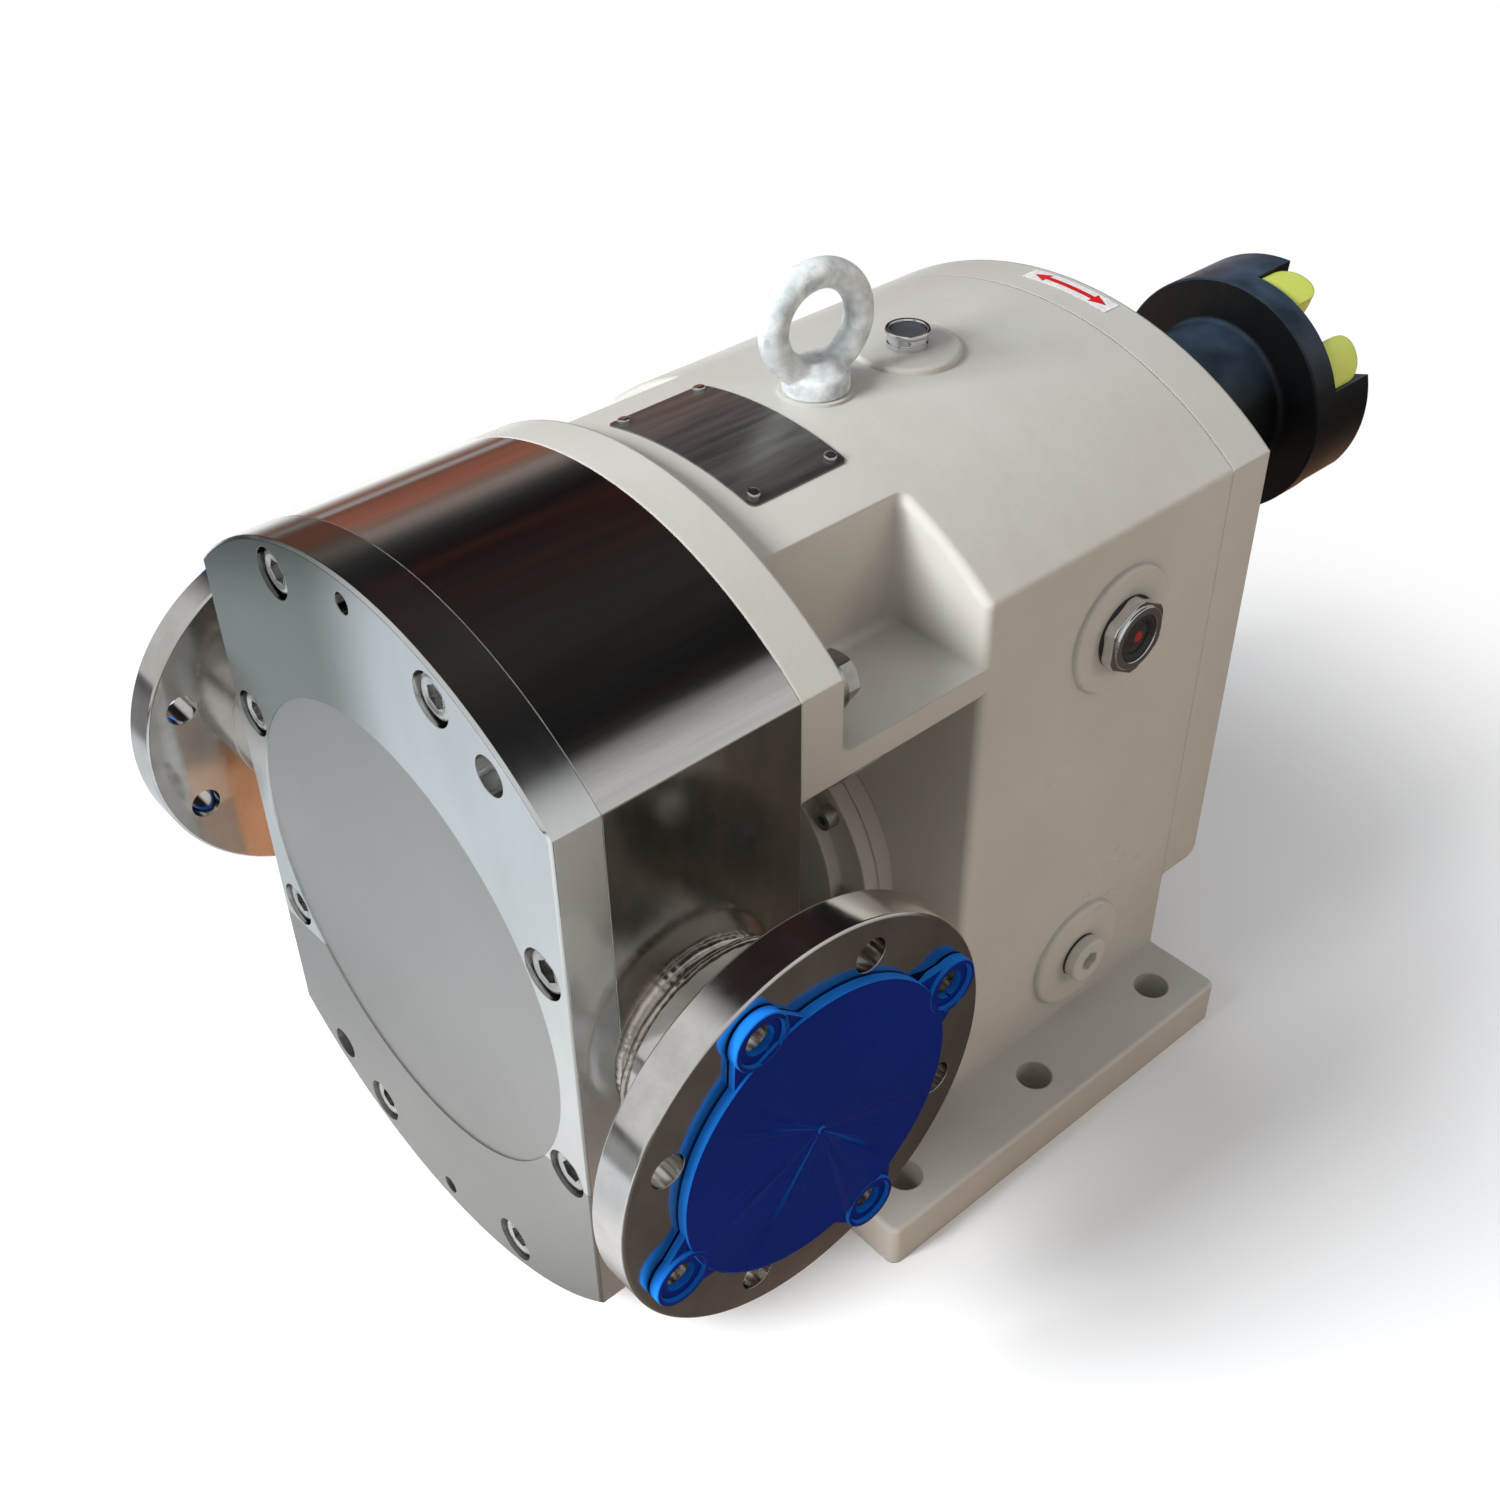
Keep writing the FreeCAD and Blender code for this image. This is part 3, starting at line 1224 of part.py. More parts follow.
def port_cap(side):
    """Plastic cap on a port flange: hollow disc, four ears over bolt holes, spigot in the bore."""
    face = port_face + cap_gap
    disc = Part.makeCylinder(cap_radius, cap_height, Vector(face, 0, 0), Vector(1, 0, 0))
    disc = disc.makeFillet(cap_rounding, edges_where(disc, lambda e, m: abs(m.x - face - cap_height) < 0.1
                                                     and e.Length > cap_radius))
    pieces = [disc]
    for k in range(cap_ears):
        turn = math.radians(port_bolt_phase) + 2 * math.pi * k / cap_ears
        direction = Vector(0, math.cos(turn), math.sin(turn))
        pieces.append(Part.makeCylinder(cap_ear_radius, cap_height, Vector(face, 0, 0)
                                        + direction * port_bolt_circle, Vector(1, 0, 0)))
        arm = Part.makeBox(cap_arm_thickness, port_bolt_circle - cap_radius / 2, 2 * cap_ear_radius,
                           Vector(face, cap_radius / 2, -cap_ear_radius))
        arm.rotate(Vector(0, 0, 0), Vector(1, 0, 0), math.degrees(turn))
        pieces.append(arm)
    spigot_radius = port_bore_radius - cap_spigot_play
    spigot = Part.makeCylinder(spigot_radius, cap_spigot_length + cap_gap,
                               Vector(port_face - cap_spigot_length, 0, 0), Vector(1, 0, 0))
    pieces.append(spigot)
    nib = Part.makeCone(cap_nib_radius, cap_nib_radius / 2, cap_nib_height, Vector(face + cap_height, 0, 0),
                        Vector(1, 0, 0))
    pieces.append(nib)
    solid = fused(pieces)
    mouth = port_face - cap_spigot_length - 1
    hollow = Part.makeCylinder(spigot_radius - cap_wall, face + cap_height - cap_wall - mouth,
                               Vector(mouth, 0, 0), Vector(1, 0, 0))
    rim = Part.makeCylinder(cap_radius - cap_wall, cap_height - cap_wall, Vector(face, 0, 0),
                            Vector(1, 0, 0))
    rim = rim.cut(Part.makeCylinder(spigot_radius, cap_height, Vector(face, 0, 0), Vector(1, 0, 0)))
    cuts = [hollow, rim]
    for k in range(cap_ears):
        turn = math.radians(port_bolt_phase) + 2 * math.pi * k / cap_ears
        direction = Vector(0, math.cos(turn), math.sin(turn))
        cuts.append(Part.makeCylinder(cap_ear_hole, cap_height + 2, Vector(face - 1, 0, 0)
                                      + direction * port_bolt_circle, Vector(1, 0, 0)))
    return placed_on_port(solid.cut(cuts), side)


def export(name, shapes):
    """Writes one sub-part, which is one solid or a group of like solids."""
    if not isinstance(shapes, list):
        shapes = [shapes]
    solids = [solid for shape in shapes for solid in shape.Solids]
    for solid in solids:
        if not solid.isValid():
            raise ValueError(name + " is not a valid solid")
    shape = solids[0] if len(solids) == 1 else Part.makeCompound(solids)
    shape.exportStep("parts/" + name + ".step")
    print(name, len(solids), "solids", round(sum(solid.Volume for solid in solids) / 1000.0, 1), "cm3")


os.makedirs("parts", exist_ok=True)

export("gearbox_housing", gearbox_housing())
export("rear_cover", rear_cover())
export("rear_cover_screws", rear_cover_screws())
export("rear_bearing_cap_drive", rear_cap(drive_z, True))
export("rear_bearing_cap_blind", rear_cap(driven_z, False))
export("rear_cap_screws", rear_cap_screws_set())
export("bearing_carrier_upper", bearing_carrier(drive_z))
export("bearing_carrier_lower", bearing_carrier(driven_z))
export("bearing_cover_upper", bearing_cover(drive_z))
export("bearing_cover_lower", bearing_cover(driven_z))
export("bearing_cover_screws", bearing_cover_screws())
export("front_oil_seals", front_oil_seals())
export("rear_oil_seal", rear_oil_seal())
export("bearing_outer_rings", outer_rings(front_bearing_radius, front_race_outer,
                                          front_bearing_start(), front_bearing_width)
       + outer_rings(rear_bearing_radius, rear_race_outer, rear_bearing_front, rear_bearing_width))
export("rotor_case", rotor_case())
export("port_stub_right", port_stub(1))
export("port_stub_left", port_stub(-1))
export("cover_seal_ring", cover_seal_ring())
export("front_cover", front_cover())
export("cover_screws", cover_screws())
export("dowel_pins", dowel_pins())
export("case_bolts", case_bolts())
export("case_bolt_washers", case_bolt_washers())
export("seal_housings", [seal_housing(drive_z), seal_housing(driven_z)])
export("seal_stationary_rings", [stationary_ring(drive_z), stationary_ring(driven_z)])
export("eye_bolt", eye_bolt())
export("breather", breather())
export("sight_glass_body", sight_glass_body())
export("sight_glass_lens", sight_glass_lens())
export("sight_glass_gasket", flat_gasket(sight_gasket_radius, sight_thread_radius + fit_clearance,
                                         half_width + sight_boss_height, sight_z))
export("drain_plug", drain_plug())
export("drain_plug_gasket", flat_gasket(drain_head_radius, drain_thread_radius + fit_clearance,
                                        half_width + drain_boss_height, drain_z))
export("nameplate", nameplate())
export("nameplate_screws", nameplate_screws())
export("port_cap_right", port_cap(1))
export("port_cap_left", port_cap(-1))

# One rotor has a lobe and one gear a tooth where the other has a hollow and a gap
drive_lobe = -math.pi / 2
driven_lobe = math.pi / 2 + math.pi / lobes
drive_tooth = -math.pi / 2
driven_tooth = math.pi / 2 + math.pi / gear_teeth

export("drive_shaft", drive_shaft())
export("driven_shaft", shaft(driven_z, rear_bearing_front + rear_bearing_width))
for name, z, lobe, tooth in (("drive", drive_z, drive_lobe, drive_tooth),
                             ("driven", driven_z, driven_lobe, driven_tooth)):
    export(name + "_rotor", rotor(z, lobe))
    export(name + "_rotor_screw", rotor_screw(z))
    export(name + "_rotor_key", rotor_key(z))
    export(name + "_timing_gear", timing_gear(z, tooth))
    export(name + "_gear_key", gear_key(z))
    export(name + "_gear_nut", gear_nut(z))
    export(name + "_bearing_inner_rings", inner_rings(z))
    export(name + "_bearing_rollers", bearing_rollers(z))
    export(name + "_seal_ring", rotating_ring(z))
export("coupling_hub", coupling_hub())
export("coupling_spider", coupling_spider())
export("coupling_key", coupling_key())
export("coupling_set_screw", coupling_set_screw())
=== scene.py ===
import math

import bpy
from mathutils import Matrix, Vector


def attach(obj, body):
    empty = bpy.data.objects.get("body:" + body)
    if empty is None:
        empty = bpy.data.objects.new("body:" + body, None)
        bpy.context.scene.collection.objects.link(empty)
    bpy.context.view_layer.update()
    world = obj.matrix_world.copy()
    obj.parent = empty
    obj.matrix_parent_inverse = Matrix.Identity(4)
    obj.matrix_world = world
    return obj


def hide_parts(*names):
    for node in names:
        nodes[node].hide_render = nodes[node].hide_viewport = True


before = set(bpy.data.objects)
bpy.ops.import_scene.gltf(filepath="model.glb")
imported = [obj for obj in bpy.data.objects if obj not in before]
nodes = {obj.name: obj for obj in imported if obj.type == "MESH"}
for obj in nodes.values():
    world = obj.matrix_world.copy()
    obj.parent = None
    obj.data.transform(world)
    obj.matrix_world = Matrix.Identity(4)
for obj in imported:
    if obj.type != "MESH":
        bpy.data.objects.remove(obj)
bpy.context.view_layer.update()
bpy.ops.object.select_all(action="DESELECT")


# Camera. It stands in front of the right port, a little above the pump, and looks down
# on it. Its place and lens were solved from the photograph together with the main sizes.
camera_place = Vector((0.6074, -0.6030, 0.8634))
camera_azimuth = math.radians(50.79)
camera_elevation = math.radians(38.57)
camera_roll = math.radians(-2.11)

camera_back = Vector((math.sin(camera_azimuth) * math.cos(camera_elevation),
                      -math.cos(camera_azimuth) * math.cos(camera_elevation),
                      math.sin(camera_elevation)))
level_right = Vector((0, 0, 1)).cross(camera_back).normalized()
level_up = camera_back.cross(level_right)
camera_right = level_right * math.cos(camera_roll) + level_up * math.sin(camera_roll)
camera_up = level_up * math.cos(camera_roll) - level_right * math.sin(camera_roll)
camera_data = bpy.data.cameras.new("camera")
camera_data.sensor_width = 36
camera_data.lens = 42.4
camera_data.shift_x = 0.0295
camera_data.shift_y = 0.0016
camera = bpy.data.objects.new("camera", camera_data)
bpy.context.collection.objects.link(camera)
camera_turn = Matrix((camera_right, camera_up, camera_back)).transposed().to_4x4()
camera.matrix_world = Matrix.Translation(camera_place) @ camera_turn
bpy.context.scene.camera = camera
bpy.context.scene.view_settings.view_transform = "Standard"


# Studio. White ground. In glossy rays alone it is painted as a workshop floor round the pump,
# a painted reflection: grey-white in front, dark on the right and rust brown on the left. Overhead is dark.
def put(tree, kind, inputs=None, **settings):
    """Adds a node; inputs maps a socket's name or number to a value or to another socket."""
    node = tree.nodes.new("ShaderNode" + kind)
    for name, value in settings.items():
        setattr(node, name, value)
    for name, value in (inputs or {}).items():
        if isinstance(value, bpy.types.NodeSocket):
            tree.links.new(value, node.inputs[name])
        else:
            node.inputs[name].default_value = value
    return node


def ramp(tree, factor, stops, out="Color"):
    """A colour ramp; each stop is a place from 0 to 1 with a grey level or a colour."""
    node = put(tree, "ValToRGB", {"Fac": factor})
    marks = node.color_ramp.elements
    while len(marks) < len(stops):
        marks.new(1.0)
    for mark, (place, colour) in zip(marks, stops):
        mark.position = place
        mark.color = (*colour, 1) if isinstance(colour, tuple) else (colour, colour, colour, 1)
    return node.outputs[out]


bpy.ops.mesh.primitive_plane_add(size=14, location=(0, 0, 0))
floor = bpy.context.object
floor.name = "floor"
floor_paint = bpy.data.materials.new("floor_paint")
floor_paint.use_nodes = True
floor_tree = floor_paint.node_tree
floor_shader = floor_tree.nodes["Principled BSDF"]
floor_shader.inputs["Roughness"].default_value = 0.9
floor_shader.inputs["Specular IOR Level"].default_value = 0.1
floor_ray = put(floor_tree, "LightPath").outputs
floor_place = put(floor_tree, "TexCoord").outputs["Object"]
floor_axes = put(floor_tree, "SeparateXYZ", {"Vector": floor_place}).outputs
floor_sideways = put(floor_tree, "MapRange", {"Value": floor_axes["X"], "From Min": -4.0, "From Max": 2.0})
floor_behind = ramp(floor_tree, floor_sideways.outputs["Result"], [
    (0.0, (0.28, 0.11, 0.075)), (0.23, (0.42, 0.30, 0.25)), (0.317, (0.55, 0.54, 0.50)), (0.45, 0.95),
    (0.53, (0.85, 0.66, 0.52)), (0.583, (0.95, 0.48, 0.26)), (0.65, (0.90, 0.46, 0.26)),
    (0.697, (0.28, 0.17, 0.125)), (0.717, (0.060, 0.048, 0.040)), (0.767, (0.060, 0.050, 0.042)),
    (0.833, (0.24, 0.215, 0.19))])
floor_slanted = put(floor_tree, "Math", {0: floor_axes["X"], 1: floor_axes["Y"]}, operation="ADD")
floor_aslant = put(floor_tree, "MapRange", {"Value": floor_slanted.outputs[0], "From Min": -4.63,
                                            "From Max": 1.37})
floor_ahead = ramp(floor_tree, floor_aslant.outputs["Result"], [
    (0.53, 0.12), (0.547, (0.145, 0.155, 0.155)), (0.57, (0.34, 0.36, 0.38)), (0.66, (0.39, 0.41, 0.425)),
    (0.70, 0.55), (0.72, 0.55), (0.745, (0.09, 0.075, 0.06))])
floor_forward = put(floor_tree, "MapRange", {"Value": floor_axes["Y"], "From Min": -0.24, "From Max": -0.31})
# Painted reflection: glossy rays see these colours by place on the floor, camera rays see it white.
floor_painted_reflection = put(floor_tree, "Mix", {0: floor_forward.outputs["Result"], 6: floor_behind, 7: floor_ahead},
                     data_type="RGBA").outputs[2]
floor_bounce = put(floor_tree, "Mix", {0: floor_ray["Is Camera Ray"], 6: (0.77, 0.68, 0.60, 1),
                                       7: (0.93, 0.93, 0.93, 1)}, data_type="RGBA").outputs[2]
floor_colour = put(floor_tree, "Mix", {0: floor_ray["Is Glossy Ray"], 6: floor_bounce, 7: floor_painted_reflection},
                   data_type="RGBA").outputs[2]
floor_tree.links.new(floor_colour, floor_shader.inputs["Base Color"])
floor_tree.links.new(floor_painted_reflection, floor_shader.inputs["Emission Color"])
# Painted reflection: in glossy rays the floor also glows faintly with the same colours.
floor_reflection_glow = put(floor_tree, "Math", {0: floor_ray["Is Glossy Ray"], 1: 0.35}, operation="MULTIPLY")
floor_tree.links.new(floor_reflection_glow.outputs[0], floor_shader.inputs["Emission Strength"])
floor_white = put(floor_tree, "Emission", {"Color": (1, 1, 1, 1), "Strength": 1.0})
floor_reach = put(floor_tree, "VectorMath", {0: floor_place}, operation="LENGTH").outputs["Value"]
floor_far = put(floor_tree, "MapRange", {"Value": floor_reach, "From Min": 0.35, "From Max": 0.75},
                interpolation_type="SMOOTHSTEP").outputs["Result"]
floor_fade = put(floor_tree, "Math", {0: floor_far, 1: floor_ray["Is Camera Ray"]}, operation="MULTIPLY")
floor_mixed = put(floor_tree, "MixShader", {0: floor_fade.outputs[0], 1: floor_shader.outputs[0],
                                            2: floor_white.outputs[0]})
floor_tree.links.new(floor_mixed.outputs[0], floor_tree.nodes["Material Output"].inputs["Surface"])
floor.data.materials.append(floor_paint)

world = bpy.data.worlds.new("studio")
bpy.context.scene.world = world
world.use_nodes = True
sky = world.node_tree
sky_way = put(sky, "SeparateXYZ", {"Vector": put(sky, "TexCoord").outputs["Generated"]}).outputs
sky_side = put(sky, "MapRange", {"Value": sky_way["X"], "From Min": -1.0, "From Max": 1.0})
sky_lamp = sky.nodes["Background"]
sky.links.new(ramp(sky, sky_side.outputs["Result"], [(0.2, (0.66, 0.72, 0.79)), (0.55, (0.60, 0.645, 0.70)),
                                                     (0.9, (0.56, 0.48, 0.41))]), sky_lamp.inputs["Color"])
sky_lamp.inputs["Strength"].default_value = 0.75
sky_round = put(sky, "Math", {0: sky_way["Z"], 1: sky_way["X"]}, operation="ARCTAN2")
sky_turn = put(sky, "Math", {0: sky_round.outputs[0], 1: math.pi}, operation="DIVIDE").outputs[0]
sky_bands = ramp(sky, sky_turn, [
    (0.0, 0.45), (0.24, 0.80), (0.29, 0.76), (0.325, 0.54), (0.36, 0.02), (0.43, 0.012),
    (0.56, (0.040, 0.034, 0.030)), (0.70, (0.026, 0.016, 0.015)), (0.79, 0.012), (0.835, 0.05),
    (0.875, (0.34, 0.28, 0.26)), (0.90, (0.26, 0.16, 0.13)), (0.93, (0.38, 0.145, 0.10)),
    (1.0, (0.22, 0.085, 0.06))])
sky_along = put(sky, "CombineXYZ", {
    "X": put(sky, "Math", {0: sky_turn, 1: 14.0}, operation="MULTIPLY").outputs[0],
    "Y": put(sky, "Math", {0: sky_way["Y"], 1: 3.0}, operation="MULTIPLY").outputs[0]})
sky_rust = put(sky, "TexNoise", {"Vector": sky_along.outputs[0], "Scale": 1.0, "Detail": 4.0})
sky_streaks = ramp(sky, sky_rust.outputs["Fac"], [(0.48, 0.0), (0.75, (0.060, 0.024, 0.020))])
sky_front = ramp(sky, put(sky, "Math", {0: sky_way["Y"], 1: -1.0}, operation="MULTIPLY").outputs[0],
                 [(0.15, 0.0), (0.38, 0.78)])
sky_over = put(sky, "Mix", {0: 1.0, 6: sky_bands, 7: sky_streaks}, data_type="RGBA", blend_type="LIGHTEN")
surround = put(sky, "Mix", {0: 1.0, 6: sky_over.outputs[2], 7: sky_front}, data_type="RGBA",
               blend_type="LIGHTEN")
sky_seen = put(sky, "Background", {"Color": surround.outputs[2], "Strength": 1.0})
sky_white = put(sky, "Background", {"Color": (1, 1, 1, 1), "Strength": 1.0})
ray = put(sky, "LightPath")
mirrored = put(sky, "MixShader", {0: ray.outputs["Is Glossy Ray"], 1: sky_lamp.outputs[0],
                                  2: sky_seen.outputs[0]})
straight = put(sky, "Math", {0: ray.outputs["Is Camera Ray"], 1: ray.outputs["Is Transmission Ray"]},
               operation="MAXIMUM")
all_rays = put(sky, "MixShader", {0: straight.outputs[0], 1: mirrored.outputs[0], 2: sky_white.outputs[0]})
sky.links.new(all_rays.outputs[0], sky.nodes["World Output"].inputs["Surface"])


def soft_lamp(name, place, aim, width, height, watts, colour=(1, 1, 1)):
    lamp_data = bpy.data.lights.new(name, "AREA")
    lamp_data.shape = "RECTANGLE"
    lamp_data.size = width
    lamp_data.size_y = height
    lamp_data.energy = watts
    lamp_data.color = colour
    lamp = bpy.data.objects.new(name, lamp_data)
    bpy.context.collection.objects.link(lamp)
    lamp.location = place
    lamp.rotation_euler = (Vector(aim) - Vector(place)).to_track_quat("-Z", "Y").to_euler()
    lamp.visible_glossy = False


soft_lamp("lamp_front", (-0.45, -2.2, 1.65), (0, -0.05, 0.25), 1.0, 0.8, 112, (0.97, 0.985, 1.0))
soft_lamp("lamp_top", (-0.35, 0.1, 2.3), (0, 0, 0.2), 1.0, 1.0, 2, (0.9, 0.96, 1.0))
soft_lamp("lamp_right", (1.9, 1.2, 1.1), (0, 0, 0.3), 0.6, 1.2, 7, (1.0, 0.9, 0.8))


# Gearbox casting: one iron casting with flange plate, lantern, body and foot plate,
# sprayed in a satin cream paint over the cast skin. Its sharp edges are broken.
def new_group(name, inputs, outputs):
    """A shader node group; inputs maps a name to a socket type and value, outputs to a type."""
    group = bpy.data.node_groups.new(name, "ShaderNodeTree")
    for label, (kind, value) in inputs.items():
        socket = group.interface.new_socket(label, in_out="INPUT", socket_type="NodeSocket" + kind)
        socket.default_value = value
    for label, kind in outputs.items():
        group.interface.new_socket(label, in_out="OUTPUT", socket_type="NodeSocket" + kind)
    return group, group.nodes.new("NodeGroupInput").outputs, group.nodes.new("NodeGroupOutput").inputs


def use_group(tree, name, **values):
    """Places a group in a material and returns its outputs."""
    node = tree.nodes.new("ShaderNodeGroup")
    node.node_tree = bpy.data.node_groups[name]
    for label, value in values.items():
        if isinstance(value, bpy.types.NodeSocket):
            tree.links.new(value, node.inputs[label])
        else:
            node.inputs[label].default_value = value
    return node.outputs


def new_material(name, metallic=0.0, **constants):
    """A material with constants on its shader; returns it with its tree and shader."""
    made = bpy.data.materials.new(name)
    made.use_nodes = True
    shader = made.node_tree.nodes["Principled BSDF"]
    shader.inputs["Metallic"].default_value = metallic
    for label, value in constants.items():
        shader.inputs[label.replace("_", " ")].default_value = value
    return made, made.node_tree, shader


def mix(tree, factor, first, second, blend="MIX"):
    """A colour mix."""
    node = put(tree, "Mix", {0: factor, 6: first, 7: second}, data_type="RGBA", blend_type=blend)
    return node.outputs[2]


def dress(tree, shader, surface, radius, relief):
    """Joins a surface group to the shader, over edges rounded to a radius."""
    rounded = use_group(tree, "broken_edges", Radius=radius)
    bump = put(tree, "Bump", {"Strength": 1.0, "Distance": relief, "Height": surface["Height"],
                              "Normal": rounded["Normal"]})
    tree.links.new(surface["Colour"], shader.inputs["Base Color"])
    tree.links.new(surface["Roughness"], shader.inputs["Roughness"])
    tree.links.new(bump.outputs["Normal"], shader.inputs["Normal"])


# Cast skin under paint: fine grain, broad waves and a slight change of tone with dust flecks
skin, skin_in, skin_out = new_group(
    "cast_skin", {"Colour": ("Color", (0.5, 0.5, 0.5, 1)), "Shade": ("Color", (0.4, 0.4, 0.4, 1)),
                  "Grain": ("Float", 700.0), "Low": ("Float", 0.34), "High": ("Float", 0.5)},
    {"Colour": "Color", "Roughness": "Float", "Height": "Float"})
skin_place = put(skin, "TexCoord").outputs["Object"]
skin_grain = put(skin, "TexNoise", {"Vector": skin_place, "Scale": skin_in["Grain"], "Detail": 3.0})
skin_waves = put(skin, "TexNoise", {"Vector": skin_place, "Scale": 60.0, "Detail": 2.0})
skin_tone = put(skin, "TexNoise", {"Vector": skin_place, "Scale": 7.0, "Detail": 5.0, "Roughness": 0.6})
skin_flecks = put(skin, "TexVoronoi", {"Vector": skin_place, "Scale": 120.0})
skin_shaded = mix(skin, ramp(skin, skin_tone.outputs["Fac"], [(0.38, 0.0), (0.72, 0.8)]),
                  skin_in["Colour"], skin_in["Shade"])
skin_dusty = mix(skin, ramp(skin, skin_flecks.outputs["Distance"], [(0.02, 0.25), (0.06, 0.0)]),
                 skin_shaded, skin_in["Shade"], "MULTIPLY")
skin.links.new(skin_dusty, skin_out["Colour"])
skin_gloss = put(skin, "MapRange", {"Value": skin_tone.outputs["Fac"], "From Min": 0.3, "From Max": 0.75,
                                    "To Min": skin_in["Low"], "To Max": skin_in["High"]})
skin.links.new(skin_gloss.outputs["Result"], skin_out["Roughness"])
skin_relief = put(skin, "Math", {0: skin_waves.outputs["Fac"], 1: 3.0, 2: skin_grain.outputs["Fac"]},
                  operation="MULTIPLY_ADD")
skin.links.new(skin_relief.outputs[0], skin_out["Height"])

# Broken edges: the surface turns smoothly over each sharp edge
edges, edges_in, edges_out = new_group("broken_edges", {"Radius": ("Float", 0.001)}, {"Normal": "Vector"})
edges_bevel = put(edges, "Bevel", {"Radius": edges_in["Radius"]}, samples=6)
edges.links.new(edges_bevel.outputs["Normal"], edges_out["Normal"])


def painted(name, colour, shade, grain, radius, relief=0.00006, low=0.34, high=0.5, coat=0.12):
    """A painted, moulded or cast finish with a fine grain."""
    made, tree, shader = new_material(name, Coat_Weight=coat, Coat_Roughness=0.25)
    surface = use_group(tree, "cast_skin", Colour=(*colour, 1), Shade=(*shade, 1), Grain=grain,
                        Low=low, High=high)
    dress(tree, shader, surface, radius, relief)
    return made


def finish(material, *names):
    """Gives CAD nodes or pieces a material."""
    for name in names:
        piece = bpy.data.objects[name]
        piece.data.materials.clear()
        piece.data.materials.append(material)


cream_paint = painted("cream_paint", (0.525, 0.515, 0.475), (0.465, 0.44, 0.395), 600.0, 0.002,
                      relief=0.00007, low=0.26, high=0.40)
finish(cream_paint, "gearbox_housing", "rear_cover", "rear_bearing_cap_drive", "rear_bearing_cap_blind",
       "bearing_carrier_upper", "bearing_carrier_lower", "bearing_cover_upper", "bearing_cover_lower",
       "drain_plug")


# Rotor case and ports: a stainless block, polished along its arch and cloudy on its flat sides, which are
# painted darker as painted shade, with turned flanges on short necks. Its sharp edges are cut back.
streaks, streaks_in, streaks_out = new_group(
    "polish_streaks", {"Light": ("Color", (0.7, 0.7, 0.7, 1)), "Dark": ("Color", (0.3, 0.3, 0.3, 1)),
                       "Stretch": ("Vector", (1.0, 1.0, 1.0)), "Fine": ("Float", 60.0),
                       "Low": ("Float", 0.1), "High": ("Float", 0.25)},
    {"Colour": "Color", "Roughness": "Float", "Height": "Float", "Cloud": "Float"})
streaks_place = put(streaks, "VectorMath", {0: put(streaks, "TexCoord").outputs["Object"],
                                            1: streaks_in["Stretch"]}, operation="MULTIPLY")
streaks_fine = put(streaks, "TexNoise", {"Vector": streaks_place.outputs[0], "Scale": streaks_in["Fine"],
                                         "Detail": 5.0, "Roughness": 0.65})
streaks_broad = put(streaks, "TexNoise", {"Vector": streaks_place.outputs[0], "Scale": 9.0, "Detail": 3.0})
streaks_both = put(streaks, "Math", {0: streaks_fine.outputs["Fac"], 1: streaks_broad.outputs["Fac"]},
                   operation="MULTIPLY")
streaks_mask = ramp(streaks, streaks_both.outputs[0], [(0.15, 0.0), (0.38, 1.0)])
streaks.links.new(mix(streaks, streaks_mask, streaks_in["Dark"], streaks_in["Light"]), streaks_out["Colour"])
streaks_gloss = put(streaks, "MapRange", {"Value": streaks_fine.outputs["Fac"], "From Min": 0.3,
                                          "From Max": 0.7, "To Min": streaks_in["Low"],
                                          "To Max": streaks_in["High"]})
streaks.links.new(streaks_gloss.outputs["Result"], streaks_out["Roughness"])
streaks.links.new(streaks_fine.outputs["Fac"], streaks_out["Height"])
streaks.links.new(streaks_broad.outputs["Fac"], streaks_out["Cloud"])


def metal(name, light, dark, stretch=(1, 1, 1), fine=60.0, low=0.1, high=0.25, relief=0.000004, radius=0.0005):
    """A metal with polishing or brushing streaks along the axis that is stretched least."""
    made, tree, shader = new_material(name, metallic=1.0)
    surface = use_group(tree, "polish_streaks", Light=(*light, 1), Dark=(*dark, 1), Stretch=stretch,
                        Fine=fine, Low=low, High=high)
    dress(tree, shader, surface, radius, relief)
    return made


def bare_copy(node_name, body="housing"):
    """A copy of a CAD node with its doubles merged, left as the only selected object."""
    bpy.ops.object.select_all(action="DESELECT")
    piece = nodes[node_name].copy()
    piece.data = nodes[node_name].data.copy()
    piece.name = node_name + "_finished"
    piece.parent = None
    for key in list(piece.keys()):
        del piece[key]
    bpy.context.collection.objects.link(piece)
    piece.select_set(True)
    bpy.context.view_layer.objects.active = piece
    bpy.ops.object.mode_set(mode="EDIT")
    bpy.ops.mesh.select_all(action="SELECT")
    bpy.ops.mesh.remove_doubles(threshold=0.00001)
    bpy.ops.mesh.dissolve_limited(angle_limit=math.radians(0.3))
    bpy.ops.object.mode_set(mode="OBJECT")
    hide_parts(node_name)
    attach(piece, body)
    return piece


def cut_edges(piece, width, segments=2, angle=38):
    """Bevels every sharp edge and smooths the rest."""
    bpy.ops.object.select_all(action="DESELECT")
    piece.select_set(True)
    bpy.context.view_layer.objects.active = piece
    cut = piece.modifiers.new("cut_edges", "BEVEL")
    cut.width = width
    cut.segments = segments
    cut.limit_method = "ANGLE"
    cut.angle_limit = math.radians(angle)
    cut.miter_outer = "MITER_ARC"
    bpy.ops.object.modifier_apply(modifier=cut.name)
    bpy.ops.object.shade_smooth_by_angle(angle=math.radians(32))
    flat = piece.modifiers.new("flat_faces", "WEIGHTED_NORMAL")
    flat.keep_sharp = True
    bpy.ops.object.modifier_apply(modifier=flat.name)


